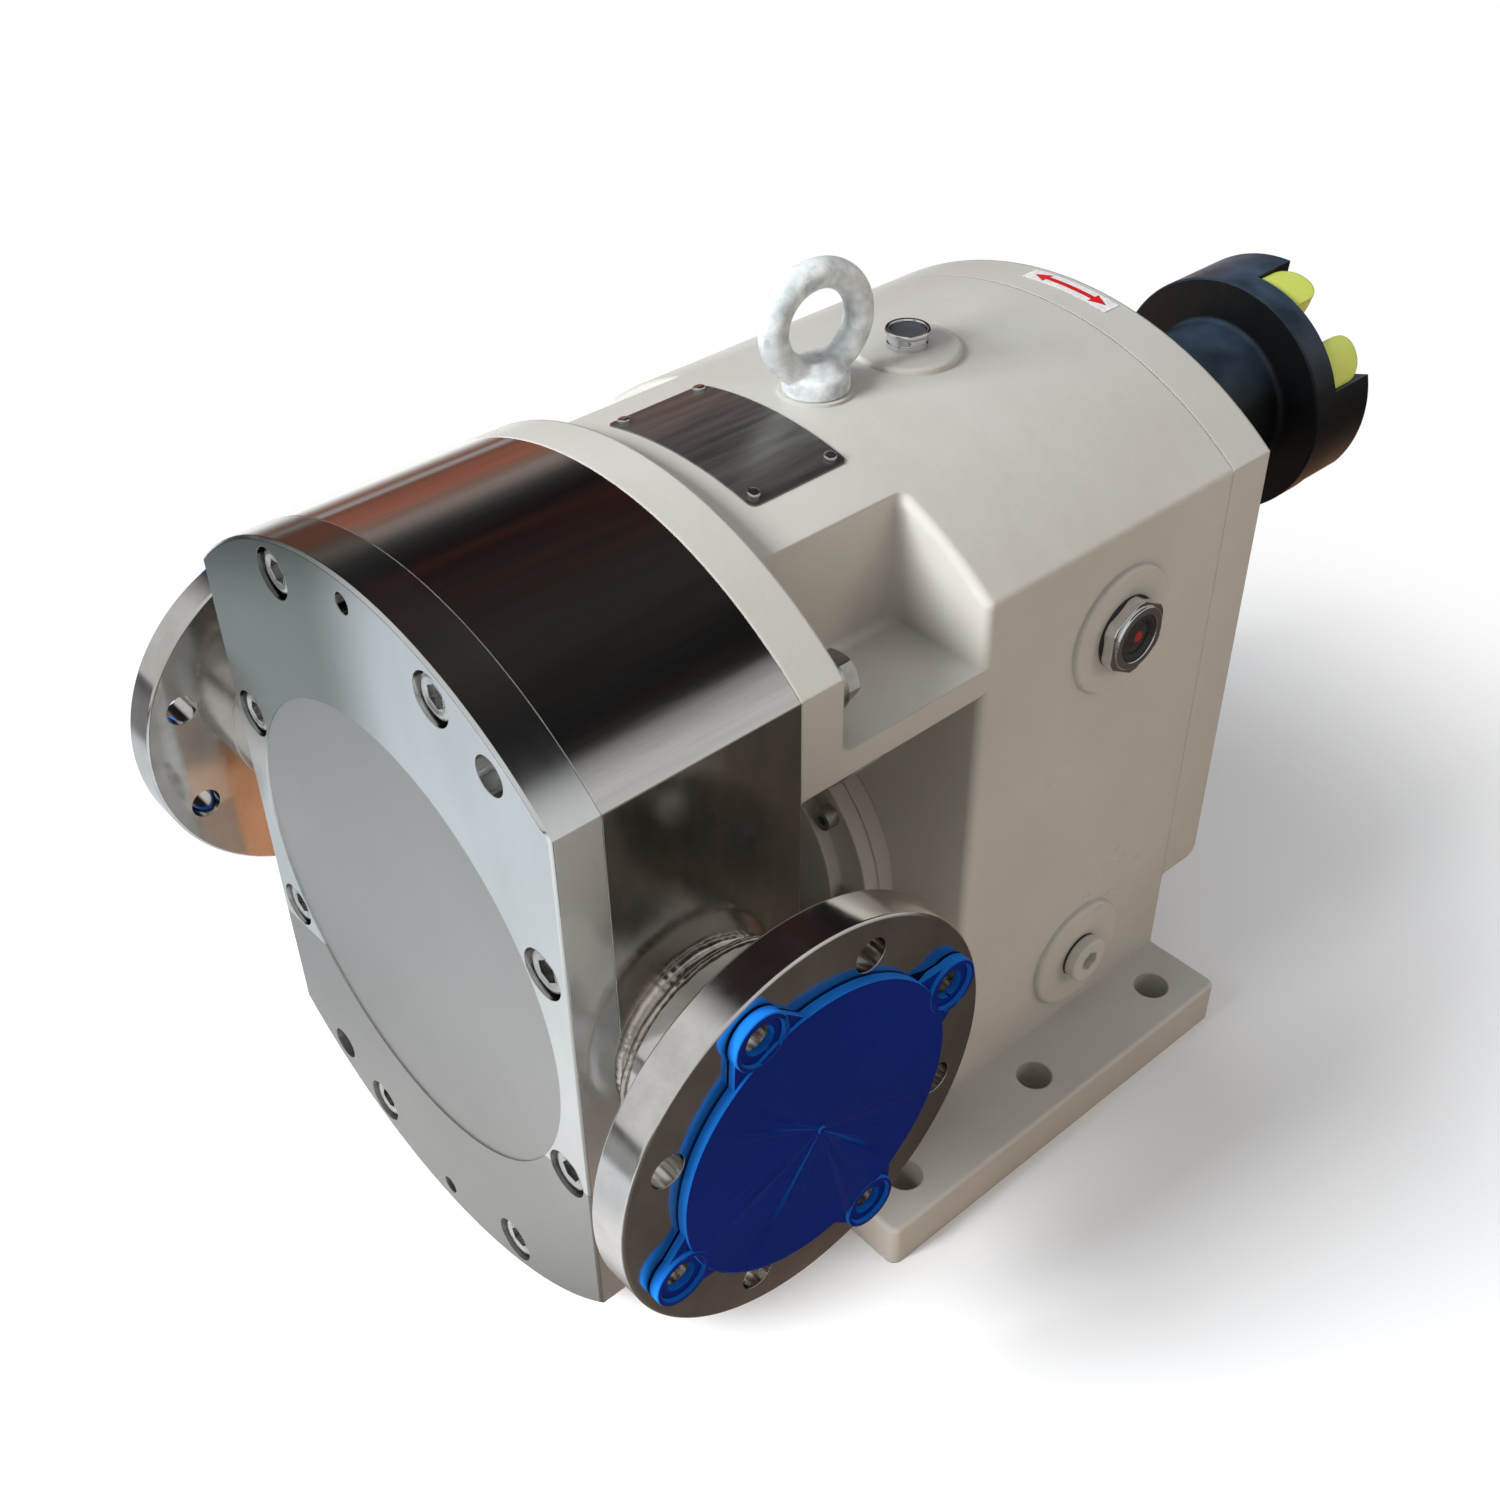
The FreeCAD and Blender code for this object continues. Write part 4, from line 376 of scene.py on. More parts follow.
case_steel, case_tree, case_shader = new_material("case_steel", metallic=1.0)
case_polish = use_group(case_tree, "polish_streaks", Light=(0.66, 0.645, 0.62, 1), Dark=(0.47, 0.45, 0.43, 1),
                        Stretch=(1.0, 0.05, 1.0), Fine=70.0, Low=0.06, High=0.14)
# Painted shade: the flat sides, picked by their sideways normal, get a darker colour as well as a rougher polish.
case_side = use_group(case_tree, "polish_streaks", Light=(0.55, 0.53, 0.50, 1), Dark=(0.38, 0.36, 0.33, 1),
                      Stretch=(1.0, 1.0, 0.5), Fine=26.0, Low=0.14, High=0.26)
case_facing = put(case_tree, "SeparateXYZ", {"Vector": put(case_tree, "NewGeometry").outputs["Normal"]})
case_sideways = put(case_tree, "Math", {0: case_facing.outputs["X"]}, operation="ABSOLUTE")
case_flat = ramp(case_tree, case_sideways.outputs[0], [(0.8, 0.0), (0.95, 1.0)])
case_gloss = put(case_tree, "Mix", {0: case_flat, 2: case_polish["Roughness"], 3: case_side["Roughness"]})
case_rounded = use_group(case_tree, "broken_edges", Radius=0.0008)
case_bump = put(case_tree, "Bump", {"Strength": 1.0, "Distance": 0.000006, "Height": case_polish["Height"],
                                    "Normal": case_rounded["Normal"]})
case_tree.links.new(mix(case_tree, case_flat, case_polish["Colour"], case_side["Colour"]),
                    case_shader.inputs["Base Color"])
case_tree.links.new(case_gloss.outputs[0], case_shader.inputs["Roughness"])
case_tree.links.new(case_bump.outputs["Normal"], case_shader.inputs["Normal"])
cut_edges(bare_copy("rotor_case"), 0.0006)
finish(case_steel, "rotor_case", "rotor_case_finished")
flange_steel = metal("flange_steel", (0.68, 0.665, 0.64), (0.52, 0.50, 0.475), (1, 1, 1), 40.0, 0.08, 0.18)
for stub_node in ("port_stub_right", "port_stub_left"):
    cut_edges(bare_copy(stub_node), 0.0004)
    finish(flange_steel, stub_node, stub_node + "_finished")


# Weld beads: the rippled rings of filler metal that join each port's neck to the case
# and to its pipe.
weld_steel, weld_tree, weld_shader = new_material("weld_steel", metallic=1.0)
weld_place = put(weld_tree, "SeparateXYZ", {"Vector": put(weld_tree, "VectorMath", {
    0: put(weld_tree, "TexCoord").outputs["Object"], 1: (0.0, 0.2395, -0.229)}).outputs[0]})
weld_angle = put(weld_tree, "Math", {0: weld_place.outputs["Z"], 1: weld_place.outputs["Y"]},
                 operation="ARCTAN2")
weld_ripple = put(weld_tree, "Math", {0: put(weld_tree, "Math", {0: weld_angle.outputs[0], 1: 64.0},
                                             operation="MULTIPLY").outputs[0]}, operation="SINE")
weld_surface = use_group(weld_tree, "polish_streaks", Light=(0.62, 0.58, 0.53, 1), Dark=(0.3, 0.26, 0.22, 1),
                         Fine=90.0, Low=0.16, High=0.32)
weld_bump = put(weld_tree, "Bump", {"Strength": 0.3, "Distance": 0.0003, "Height": weld_ripple.outputs[0]})
weld_tree.links.new(weld_surface["Colour"], weld_shader.inputs["Base Color"])
weld_tree.links.new(weld_surface["Roughness"], weld_shader.inputs["Roughness"])
weld_tree.links.new(weld_bump.outputs["Normal"], weld_shader.inputs["Normal"])


def settle(piece, name, body, material, smooth=35):
    """Puts a finished piece's place in its mesh, and gives it name, finish and body."""
    if bpy.context.mode != "OBJECT":
        bpy.ops.object.mode_set(mode="OBJECT")
    bpy.ops.object.select_all(action="DESELECT")
    piece.select_set(True)
    bpy.context.view_layer.objects.active = piece
    bpy.ops.object.transform_apply(location=True, rotation=True, scale=True)
    bpy.ops.object.shade_smooth_by_angle(angle=math.radians(smooth))
    piece.name = name
    piece.data.name = name
    piece.data.materials.clear()
    piece.data.materials.append(material)
    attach(piece, body)
    return piece


for side, side_name in ((1, "right"), (-1, "left")):
    for bead, (distance, ring, thickness) in enumerate(((0.1495, 0.0475, 0.0042), (0.1625, 0.0565, 0.0022))):
        bpy.ops.mesh.primitive_torus_add(major_segments=96, minor_segments=16, major_radius=ring,
                                         minor_radius=thickness, location=(side * distance, -0.2395, 0.229),
                                         rotation=(0, math.pi / 2, 0))
        bead_ring = bpy.context.object
        ripple_points = bead_ring.modifiers.new("uneven", "DISPLACE")
        ripple_points.texture = bpy.data.textures.new("bead_lumps", "CLOUDS")
        ripple_points.texture.noise_scale = 0.006
        ripple_points.strength = 0.0016
        ripple_points.mid_level = 0.5
        bpy.ops.object.modifier_apply(modifier=ripple_points.name)
        settle(bead_ring, "weld_bead_%s_%d" % (side_name, bead), "housing", weld_steel, 60)


# Front cover: a thick stainless plate, satin in a turned disc in its middle and polished
# round it, held by eight sunk socket screws, with two open jacking holes.
cover_steel, cover_tree, cover_shader = new_material("cover_steel", metallic=1.0)
cover_polish = use_group(cover_tree, "polish_streaks", Light=(0.66, 0.68, 0.67, 1), Dark=(0.52, 0.54, 0.53, 1),
                         Stretch=(0.5, 1.0, 0.28), Fine=16.0, Low=0.10, High=0.2)
cover_satin = use_group(cover_tree, "polish_streaks", Light=(0.49, 0.485, 0.465, 1), Dark=(0.45, 0.445, 0.425, 1),
                        Stretch=(1.0, 1.0, 1.0), Fine=10.0, Low=0.42, High=0.5)
cover_place = put(cover_tree, "VectorMath", {0: put(cover_tree, "TexCoord").outputs["Object"],
                                             1: (0.0, 0.3115, -0.229)})
cover_middle = put(cover_tree, "VectorMath", {0: cover_place.outputs[0], 1: (1.0, 0.0, 1.0)},
                   operation="MULTIPLY")
cover_reach = put(cover_tree, "VectorMath", {0: cover_middle.outputs[0]}, operation="LENGTH")
cover_disc = put(cover_tree, "Math", {0: cover_reach.outputs["Value"], 1: 0.1328}, operation="LESS_THAN")
cover_height = put(cover_tree, "VectorMath", {0: cover_place.outputs[0], 1: (-0.05, 0.0, 1.0)},
                   operation="DOT_PRODUCT")
cover_below = put(cover_tree, "Math", {0: cover_height.outputs["Value"], 1: -0.078}, operation="LESS_THAN")
cover_dull = put(cover_tree, "Math", {0: cover_disc.outputs[0], 1: cover_below.outputs[0]},
                 operation="MAXIMUM")
cover_across = put(cover_tree, "SeparateXYZ", {"Vector": cover_place.outputs[0]})
# Painted reflection: on the polished ring, up and to the left of the centre, the colour fades to a dark grey-green
# patch.
cover_left = put(cover_tree, "MapRange", {"Value": cover_across.outputs["X"], "From Min": 0.035,
                                          "From Max": -0.04}, interpolation_type="SMOOTHSTEP")
cover_upper = put(cover_tree, "MapRange", {"Value": cover_across.outputs["Z"], "From Min": 0.035,
                                           "From Max": 0.08}, interpolation_type="SMOOTHSTEP")
cover_painted_reflection_mask = put(cover_tree, "Math", {0: cover_left.outputs["Result"], 1: cover_upper.outputs["Result"]},
                  operation="MULTIPLY")
cover_polish_painted_reflection = mix(cover_tree, cover_painted_reflection_mask.outputs[0], cover_polish["Colour"], (0.17, 0.19, 0.175, 1))
# Darker towards the bottom: the satin disc and the satin part below it fade to a deeper grey downwards.
cover_lower = put(cover_tree, "MapRange", {"Value": cover_across.outputs["Z"], "From Min": 0.02,
                                           "From Max": -0.12}, interpolation_type="SMOOTHSTEP")
cover_satin_darker_below = mix(cover_tree, cover_lower.outputs["Result"], cover_satin["Colour"], (0.385, 0.38, 0.362, 1))
cover_rings = put(cover_tree, "Math", {0: put(cover_tree, "Math", {
    0: cover_reach.outputs["Value"], 1: 9000.0}, operation="MULTIPLY").outputs[0]}, operation="SINE")
cover_gloss = put(cover_tree, "Mix", {0: cover_dull.outputs[0], 2: cover_polish["Roughness"],
                                      3: cover_satin["Roughness"]})
cover_facing = put(cover_tree, "SeparateXYZ", {"Vector": put(cover_tree, "NewGeometry").outputs["Normal"]})
cover_sideways = put(cover_tree, "Math", {0: cover_facing.outputs["X"]}, operation="ABSOLUTE")
cover_flat = ramp(cover_tree, cover_sideways.outputs[0], [(0.9, 0.0), (0.98, 1.0)])
cover_bare = put(cover_tree, "MapRange", {"Value": cover_flat, "To Min": 1.0, "To Max": 0.45})
cover_tree.links.new(cover_bare.outputs["Result"], cover_shader.inputs["Metallic"])
cover_rounded = use_group(cover_tree, "broken_edges", Radius=0.0006)
cover_turned = put(cover_tree, "Math", {0: cover_rings.outputs[0], 1: cover_disc.outputs[0]},
                   operation="MULTIPLY")
cover_bump = put(cover_tree, "Bump", {"Strength": 0.35, "Distance": 0.00001, "Height": cover_turned.outputs[0],
                                      "Normal": cover_rounded["Normal"]})
cover_tree.links.new(mix(cover_tree, cover_dull.outputs[0], cover_polish_painted_reflection, cover_satin_darker_below),
                     cover_shader.inputs["Base Color"])
cover_tree.links.new(cover_gloss.outputs[0], cover_shader.inputs["Roughness"])
cover_tree.links.new(cover_bump.outputs["Normal"], cover_shader.inputs["Normal"])
cut_edges(bare_copy("front_cover"), 0.0006)
finish(cover_steel, "front_cover", "front_cover_finished")


# Cover screws: socket-head screws in stainless, with a chamfered and knurled head sunk in
# the cover's counterbores. One is modelled and copied to the eight places.
def turned(centre, axis, profile, steps=48):
    """A piece turned about an axis through centre; profile lists distance along it and
    radius, in millimetres, and is extruded point by point and then spun."""
    along = Vector(axis).normalized()
    out = along.orthogonal().normalized()
    points = [Vector(centre) + along * (run / 1000) + out * (radius / 1000) for run, radius in profile]
    bpy.ops.object.select_all(action="DESELECT")
    bpy.ops.mesh.primitive_plane_add(size=0.002, location=points[0])
    piece = bpy.context.object
    bpy.ops.object.mode_set(mode="EDIT")
    bpy.ops.mesh.select_all(action="SELECT")
    bpy.ops.mesh.merge(type="CENTER")
    for before, after in zip(points, points[1:]):
        bpy.ops.mesh.extrude_vertices_move(TRANSFORM_OT_translate={"value": after - before})
    bpy.ops.mesh.select_all(action="SELECT")
    bpy.ops.mesh.spin(steps=steps, angle=2 * math.pi, center=centre, axis=along)
    bpy.ops.mesh.select_all(action="SELECT")
    bpy.ops.mesh.remove_doubles(threshold=0.000005)
    bpy.ops.mesh.normals_make_consistent(inside=False)
    bpy.ops.object.mode_set(mode="OBJECT")
    return piece


def join_shape(piece, tool, operation):
    """Cuts, joins or keeps a piece with another shape, which is then gone."""
    bpy.ops.object.select_all(action="DESELECT")
    piece.select_set(True)
    bpy.context.view_layer.objects.active = piece
    shape = piece.modifiers.new("shape", "BOOLEAN")
    shape.operation = operation
    shape.object = tool
    shape.solver = "EXACT"
    bpy.ops.object.modifier_apply(modifier=shape.name)
    bpy.data.objects.remove(tool)


def hex_prism(flats, centre, axis, depth):
    """A hexagonal bar of the given width across flats, centred, in metres."""
    turn = Vector(axis).to_track_quat("Z", "Y").to_euler()
    bpy.ops.mesh.primitive_cylinder_add(vertices=6, radius=flats / math.sqrt(3), depth=depth,
                                        location=centre, rotation=turn)
    return bpy.context.object


screw_steel = metal("screw_steel", (0.70, 0.70, 0.68), (0.42, 0.41, 0.4), (1, 1, 1), 120.0, 0.16, 0.34)
screw_places = [(sx * x, 0.229 + sz * z) for x, z in ((0.130, 0.070), (0.067, 0.188))
                for sx in (-1, 1) for sz in (-1, 1)]
screw_seat = -0.296
model_screw = turned((0, 0, 0), (0, -1, 0), [(0, 0), (0, 11.6), (0.6, 12.0), (12.4, 12.0), (13.2, 11.5),
                                             (14.0, 10.2), (14.0, 8.4), (13.4, 7.4), (13.4, 0)], 72)
join_shape(model_screw, hex_prism(0.0114, (0, -0.0115, 0), (0, 1, 0), 0.009), "DIFFERENCE")
for face in model_screw.data.polygons:
    face.select = False
cut_edges(model_screw, 0.0003)
for number, (x, z) in enumerate(screw_places):
    screw = model_screw.copy()
    screw.data = model_screw.data.copy()
    bpy.context.collection.objects.link(screw)
    screw.location = (x, screw_seat, z)
    screw.rotation_euler = (0, math.radians(17 * number), 0)
    settle(screw, "cover_screw_%d" % (number + 1), "housing", screw_steel)
    if number == 0:
        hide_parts("cover_screws")
bpy.data.objects.remove(model_screw)
finish(screw_steel, "cover_screws", "dowel_pins")


# Bolts behind the flange plate, bearing-cover screws and rear screws: plated steel, with
# a dull grey film.
zinc = metal("zinc_plate", (0.62, 0.61, 0.57), (0.40, 0.385, 0.35), (1, 1, 1), 90.0, 0.28, 0.45)
for bolt_node in ("case_bolts", "bearing_cover_screws", "rear_cover_screws", "rear_cap_screws"):
    cut_edges(bare_copy(bolt_node), 0.0004)
    finish(zinc, bolt_node, bolt_node + "_finished")
finish(zinc, "case_bolt_washers")


# Rotors, seal housings and rotor screws: turned and milled stainless inside the case.
inner_steel = metal("inner_steel", (0.60, 0.59, 0.57), (0.42, 0.41, 0.39), (1, 0.2, 1), 60.0, 0.14, 0.28)
finish(inner_steel, "drive_rotor", "driven_rotor", "drive_rotor_screw", "driven_rotor_screw", "seal_housings")


# Shafts, timing gears, lock nuts, keys and bearings: ground and oiled steel.
ground_steel = metal("ground_steel", (0.50, 0.485, 0.46), (0.30, 0.28, 0.26), (1, 0.3, 1), 110.0, 0.18, 0.32)
finish(ground_steel, "drive_shaft", "driven_shaft", "drive_timing_gear", "driven_timing_gear",
       "drive_gear_nut", "driven_gear_nut", "drive_gear_key", "driven_gear_key", "drive_rotor_key",
       "driven_rotor_key", "drive_bearing_inner_rings", "driven_bearing_inner_rings",
       "bearing_outer_rings", "drive_bearing_rollers",
       "driven_bearing_rollers", "coupling_key", "coupling_set_screw")


# Seals: black rubber lips, rings and gaskets, and lapped carbide faces in the shaft seals.
rubber = painted("black_rubber", (0.02, 0.02, 0.02), (0.03, 0.03, 0.03), 900.0, 0.0004, coat=0.0,
                 low=0.5, high=0.7)
finish(rubber, "front_oil_seals", "rear_oil_seal", "cover_seal_ring", "sight_glass_gasket",
       "drain_plug_gasket")
carbide = painted("lapped_carbide", (0.05, 0.05, 0.055), (0.035, 0.035, 0.04), 1500.0, 0.0003,
                  low=0.2, high=0.3)
finish(carbide, "seal_stationary_rings", "drive_seal_ring", "driven_seal_ring")


# Coupling half: black cast iron, turned on its hub and flange, with dust and a painted bluish
# sheen on its upward faces. Its three jaws hold an elastic spider of six rounded yellow-green lobes.
black_iron, iron_tree, iron_shader = new_material("black_iron", Specular_IOR_Level=0.16)
iron_surface = use_group(iron_tree, "cast_skin", Colour=(0.004, 0.005, 0.006, 1), Shade=(0.008, 0.009, 0.010, 1),
                         Grain=500.0, Low=0.30, High=0.46)
dress(iron_tree, iron_shader, iron_surface, 0.0006, 0.00008)
# Dust and painted sheen: faces turned upwards are painted a lighter bluish grey in noisy patches.
iron_up = put(iron_tree, "SeparateXYZ", {"Vector": put(iron_tree, "NewGeometry").outputs["Normal"]}).outputs["Z"]
iron_patches = put(iron_tree, "TexNoise", {"Vector": put(iron_tree, "TexCoord").outputs["Object"],
                                           "Scale": 30.0, "Detail": 4.0}).outputs["Fac"]
iron_dust_and_sheen = put(iron_tree, "Math", {0: ramp(iron_tree, iron_up, [(0.35, 0.0), (0.95, 1.0)]),
                                    1: ramp(iron_tree, iron_patches, [(0.35, 0.35), (0.65, 1.0)])},
                operation="MULTIPLY").outputs[0]
iron_tree.links.new(mix(iron_tree, iron_dust_and_sheen, iron_surface["Colour"], (0.050, 0.082, 0.125, 1)),
                    iron_shader.inputs["Base Color"])
cut_edges(bare_copy("coupling_hub", "drive_train"), 0.0011, 3)
finish(black_iron, "coupling_hub", "coupling_hub_finished")
elastomer, rubber_tree, rubber_shader = new_material("yellow_green_elastomer", Subsurface_Weight=0.15,
                                                     Subsurface_Radius=(0.004, 0.004, 0.001))
rubber_surface = use_group(rubber_tree, "cast_skin", Colour=(0.60, 0.68, 0.13, 1), Shade=(0.44, 0.50, 0.07, 1),
                           Grain=260.0, Low=0.26, High=0.4)
dress(rubber_tree, rubber_shader, rubber_surface, 0.002, 0.00006)
cut_edges(bare_copy("coupling_spider", "drive_train"), 0.0022, 3)
finish(elastomer, "coupling_spider", "coupling_spider_finished")


# Lifting eye bolt: forged and hot-dip galvanised, its ring swelling into a short collar
# that is screwed down on a pad on the crown of the casting.
galvanised, galv_tree, galv_shader = new_material("galvanised", metallic=0.2)
galv_place = put(galv_tree, "TexCoord").outputs["Object"]
galv_cells = put(galv_tree, "TexVoronoi", {"Vector": galv_place, "Scale": 260.0, "Randomness": 1.0})
galv_cloud = put(galv_tree, "TexNoise", {"Vector": galv_place, "Scale": 90.0, "Detail": 5.0})
galv_colour = mix(galv_tree, ramp(galv_tree, galv_cloud.outputs["Fac"], [(0.32, 0.0), (0.66, 1.0)]),
                  (0.44, 0.48, 0.49, 1), (0.78, 0.82, 0.82, 1))
galv_grey = put(galv_tree, "RGBToBW", {"Color": galv_cells.outputs["Color"]})
galv_spangle = mix(galv_tree, 0.3, galv_colour, galv_grey.outputs["Val"], "SOFT_LIGHT")
galv_bump = put(galv_tree, "Bump", {"Strength": 0.7, "Distance": 0.0003, "Height": galv_cloud.outputs["Fac"]})
galv_tree.links.new(galv_spangle, galv_shader.inputs["Base Color"])
galv_tree.links.new(ramp(galv_tree, galv_cloud.outputs["Fac"], [(0.3, 0.5), (0.7, 0.34)]),
                    galv_shader.inputs["Roughness"])
galv_tree.links.new(galv_bump.outputs["Normal"], galv_shader.inputs["Normal"])

eye_turn = math.radians(81)
eye_centre = Vector((0, -0.0245, 0.4730))
eye_seat = Vector((0, -0.0245, 0.4366))
eye_normal = Vector((-math.sin(eye_turn), math.cos(eye_turn), 0))
eye_bolt = turned(eye_seat, (0, 0, 1), [(-22, 0), (-22, 8), (0, 8), (0, 18.1), (9.0, 18.1), (10.8, 17.4),
                                        (11.6, 15.6), (12.6, 13.2), (15.0, 11.2), (18.0, 9.8), (18.0, 0)], 64)
bpy.ops.mesh.primitive_torus_add(major_segments=96, minor_segments=32, major_radius=0.0262,
                                 minor_radius=0.0080, location=eye_centre,
                                 rotation=eye_normal.to_track_quat("Z", "Y").to_euler())
join_shape(eye_bolt, bpy.context.object, "UNION")
bpy.ops.mesh.primitive_cylinder_add(vertices=64, radius=0.0182, depth=0.03, location=eye_centre,
                                    rotation=eye_normal.to_track_quat("Z", "Y").to_euler())
join_shape(eye_bolt, bpy.context.object, "DIFFERENCE")
eye_skin = eye_bolt.modifiers.new("forged", "REMESH")
eye_skin.mode = "VOXEL"
eye_skin.voxel_size = 0.0008
bpy.ops.object.modifier_apply(modifier=eye_skin.name)
eye_soft = eye_bolt.modifiers.new("softened", "SMOOTH")
eye_soft.factor = 0.5
eye_soft.iterations = 8
bpy.ops.object.modifier_apply(modifier=eye_soft.name)
settle(eye_bolt, "lifting_eye", "housing", galvanised, 60)
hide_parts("eye_bolt")
finish(galvanised, "eye_bolt")


# Breather: a chromed cup with a groove under its lip and a bleed hole, closed by a dark
# grey insert, screwed into a raised boss on the crown.
chrome = metal("chrome", (0.80, 0.80, 0.81), (0.62, 0.62, 0.63), (1, 1, 1), 80.0, 0.05, 0.12)
dark_insert = painted("dark_insert", (0.045, 0.05, 0.055), (0.08, 0.085, 0.09), 500.0, 0.0004)
breather_seat = Vector((0, 0.043, 0.4385))
breather_cup = turned(breather_seat, (0, 0, 1), [(-18, 0), (-18, 9), (0, 9), (0, 11.4), (2.4, 11.4), (2.8, 10.5),
                                                 (3.6, 10.5), (4.0, 11.4), (6.6, 11.4), (7.4, 12.2), (8.4, 12.6),
                                                 (9.3, 12.5), (9.9, 11.9), (10.0, 11.2), (9.7, 10.6),
                                                 (8.8, 10.2), (6.4, 10.1), (6.4, 0)], 72)
bpy.ops.mesh.primitive_cylinder_add(vertices=24, radius=0.0011, depth=0.008,
                                    location=breather_seat + Vector((0.0086, -0.0075, 0.0052)),
                                    rotation=(0, math.pi / 2, math.radians(-41)))
join_shape(breather_cup, bpy.context.object, "DIFFERENCE")
settle(breather_cup, "breather_cup", "housing", chrome)
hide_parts("breather")
breather_insert = turned(breather_seat, (0, 0, 1), [(6.4, 0), (6.4, 10.0), (8.2, 10.0), (8.5, 9.6), (7.9, 8.6),
                                                    (7.4, 2.6), (7.2, 0)], 48)
settle(breather_insert, "breather_insert", "housing", dark_insert)
finish(chrome, "breather")


# Oil sight glass: a chromed hexagon screwed into the side of the gearbox, with a black
# sealing ring round a dark lens and a red dot behind it.
cut_edges(bare_copy("sight_glass_body"), 0.0007, 3)
finish(chrome, "sight_glass_body", "sight_glass_body_finished")
sight_face = Vector((0.1535, 0.060, 0.320))
sight_ring = turned(sight_face, (1, 0, 0), [(4.0, 13.9), (7.6, 13.9), (8.2, 13.2), (8.0, 11.2), (6.4, 9.9),
                                            (4.0, 9.9), (4.0, 13.9)], 64)
settle(sight_ring, "sight_ring", "housing", rubber)
lens_glass, lens_tree, lens_shader = new_material("dark_glass", Coat_Weight=1.0, Coat_Roughness=0.03)
lens_smear = put(lens_tree, "TexNoise", {"Vector": put(lens_tree, "TexCoord").outputs["Object"],
                                         "Scale": 160.0, "Detail": 4.0})
lens_tree.links.new(ramp(lens_tree, lens_smear.outputs["Fac"], [(0.3, (0.012, 0.013, 0.012)),
                                                                (0.75, (0.05, 0.05, 0.045))]),
                    lens_shader.inputs["Base Color"])
lens_tree.links.new(ramp(lens_tree, lens_smear.outputs["Fac"], [(0.3, 0.05), (0.75, 0.2)]),
                    lens_shader.inputs["Roughness"])
sight_lens = turned(sight_face, (1, 0, 0), [(3.0, 0), (3.0, 10.6), (5.6, 10.6), (6.0, 9.0), (6.4, 5.0),
                                            (6.5, 0)], 48)
settle(sight_lens, "sight_lens", "housing", lens_glass, 60)
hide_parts("sight_glass_lens")
finish(lens_glass, "sight_glass_lens")
red_dot = painted("red_dot", (0.42, 0.02, 0.015), (0.25, 0.01, 0.01), 500.0, 0.0002, low=0.25, high=0.35)
sight_dot = turned(sight_face + Vector((0, 0.001, 0.0)), (1, 0, 0), [(5.8, 0), (5.8, 3.4), (6.7, 3.2),
                                                                     (6.8, 2.4), (6.8, 0)], 32)
settle(sight_dot, "sight_dot", "housing", red_dot)


# Nameplate: a dark brushed metal plate with rounded corners, bent to the arch and held by
# four round-head screws. It is left blank.
plate_metal, plate_tree, plate_shader = new_material("dark_plate", metallic=0.9)
plate_surface = use_group(plate_tree, "polish_streaks", Light=(0.42, 0.41, 0.40, 1),
                          Dark=(0.16, 0.155, 0.15, 1), Stretch=(1.0, 0.08, 1.0), Fine=130.0, Low=0.30, High=0.48)
dress(plate_tree, plate_shader, plate_surface, 0.0004, 0.00001)
finish(plate_metal, "nameplate")
finish(screw_steel, "nameplate_screws")


# Direction label: a strip of white film on the rear edge of the arch with a red arrow
# that points both ways.
label_film, label_tree, label_shader = new_material("label_film", Roughness=0.35)
label_place = put(label_tree, "SeparateXYZ", {"Vector": put(label_tree, "Mapping", {
    "Vector": put(label_tree, "TexCoord").outputs["Object"], "Location": (-0.0095, -0.1660, 0.0),
}).outputs[0]})
label_along = put(label_tree, "Math", {0: label_place.outputs["X"]}, operation="ABSOLUTE").outputs[0]
label_across = put(label_tree, "Math", {0: label_place.outputs["Y"]}, operation="ABSOLUTE").outputs[0]
label_shaft = put(label_tree, "Math", {0: label_across, 1: 0.0019}, operation="LESS_THAN").outputs[0]
label_reach = put(label_tree, "Math", {0: label_along, 1: 0.0180}, operation="LESS_THAN").outputs[0]
label_slope = put(label_tree, "Math", {0: put(label_tree, "Math", {0: 0.0265, 1: label_along},
                                              operation="SUBTRACT").outputs[0], 1: 0.50},
                  operation="MULTIPLY").outputs[0]
label_point = put(label_tree, "Math", {0: label_across, 1: label_slope}, operation="LESS_THAN").outputs[0]
label_beyond = put(label_tree, "Math", {0: label_along, 1: 0.0165}, operation="GREATER_THAN").outputs[0]
label_body = put(label_tree, "Math", {0: label_shaft, 1: label_reach}, operation="MULTIPLY").outputs[0]
label_head = put(label_tree, "Math", {0: label_point, 1: label_beyond}, operation="MULTIPLY").outputs[0]
label_arrow = put(label_tree, "Math", {0: label_body, 1: label_head}, operation="MAXIMUM").outputs[0]
label_worn = put(label_tree, "TexNoise", {"Vector": put(label_tree, "TexCoord").outputs["Object"],
                                          "Scale": 240.0, "Detail": 4.0})
label_tree.links.new(mix(label_tree, label_arrow,
                         ramp(label_tree, label_worn.outputs["Fac"], [(0.3, 0.62), (0.7, 0.78)]),
                         ramp(label_tree, label_worn.outputs["Fac"], [(0.3, (0.50, 0.006, 0.008)),
                                                                      (0.7, (0.66, 0.014, 0.014))])),
                     label_shader.inputs["Base Color"])
bpy.ops.object.select_all(action="DESELECT")
bpy.ops.mesh.primitive_grid_add(x_subdivisions=40, y_subdivisions=8, size=1, location=(0.0095, 0.1660, 0.46))
label = bpy.context.object
label.scale = (0.061, 0.0125, 1)
bpy.ops.object.transform_apply(location=True, rotation=True, scale=True)
label_wrap = label.modifiers.new("laid", "SHRINKWRAP")
label_wrap.target = nodes["rear_cover"]
label_wrap.wrap_method = "PROJECT"
label_wrap.use_project_z = True
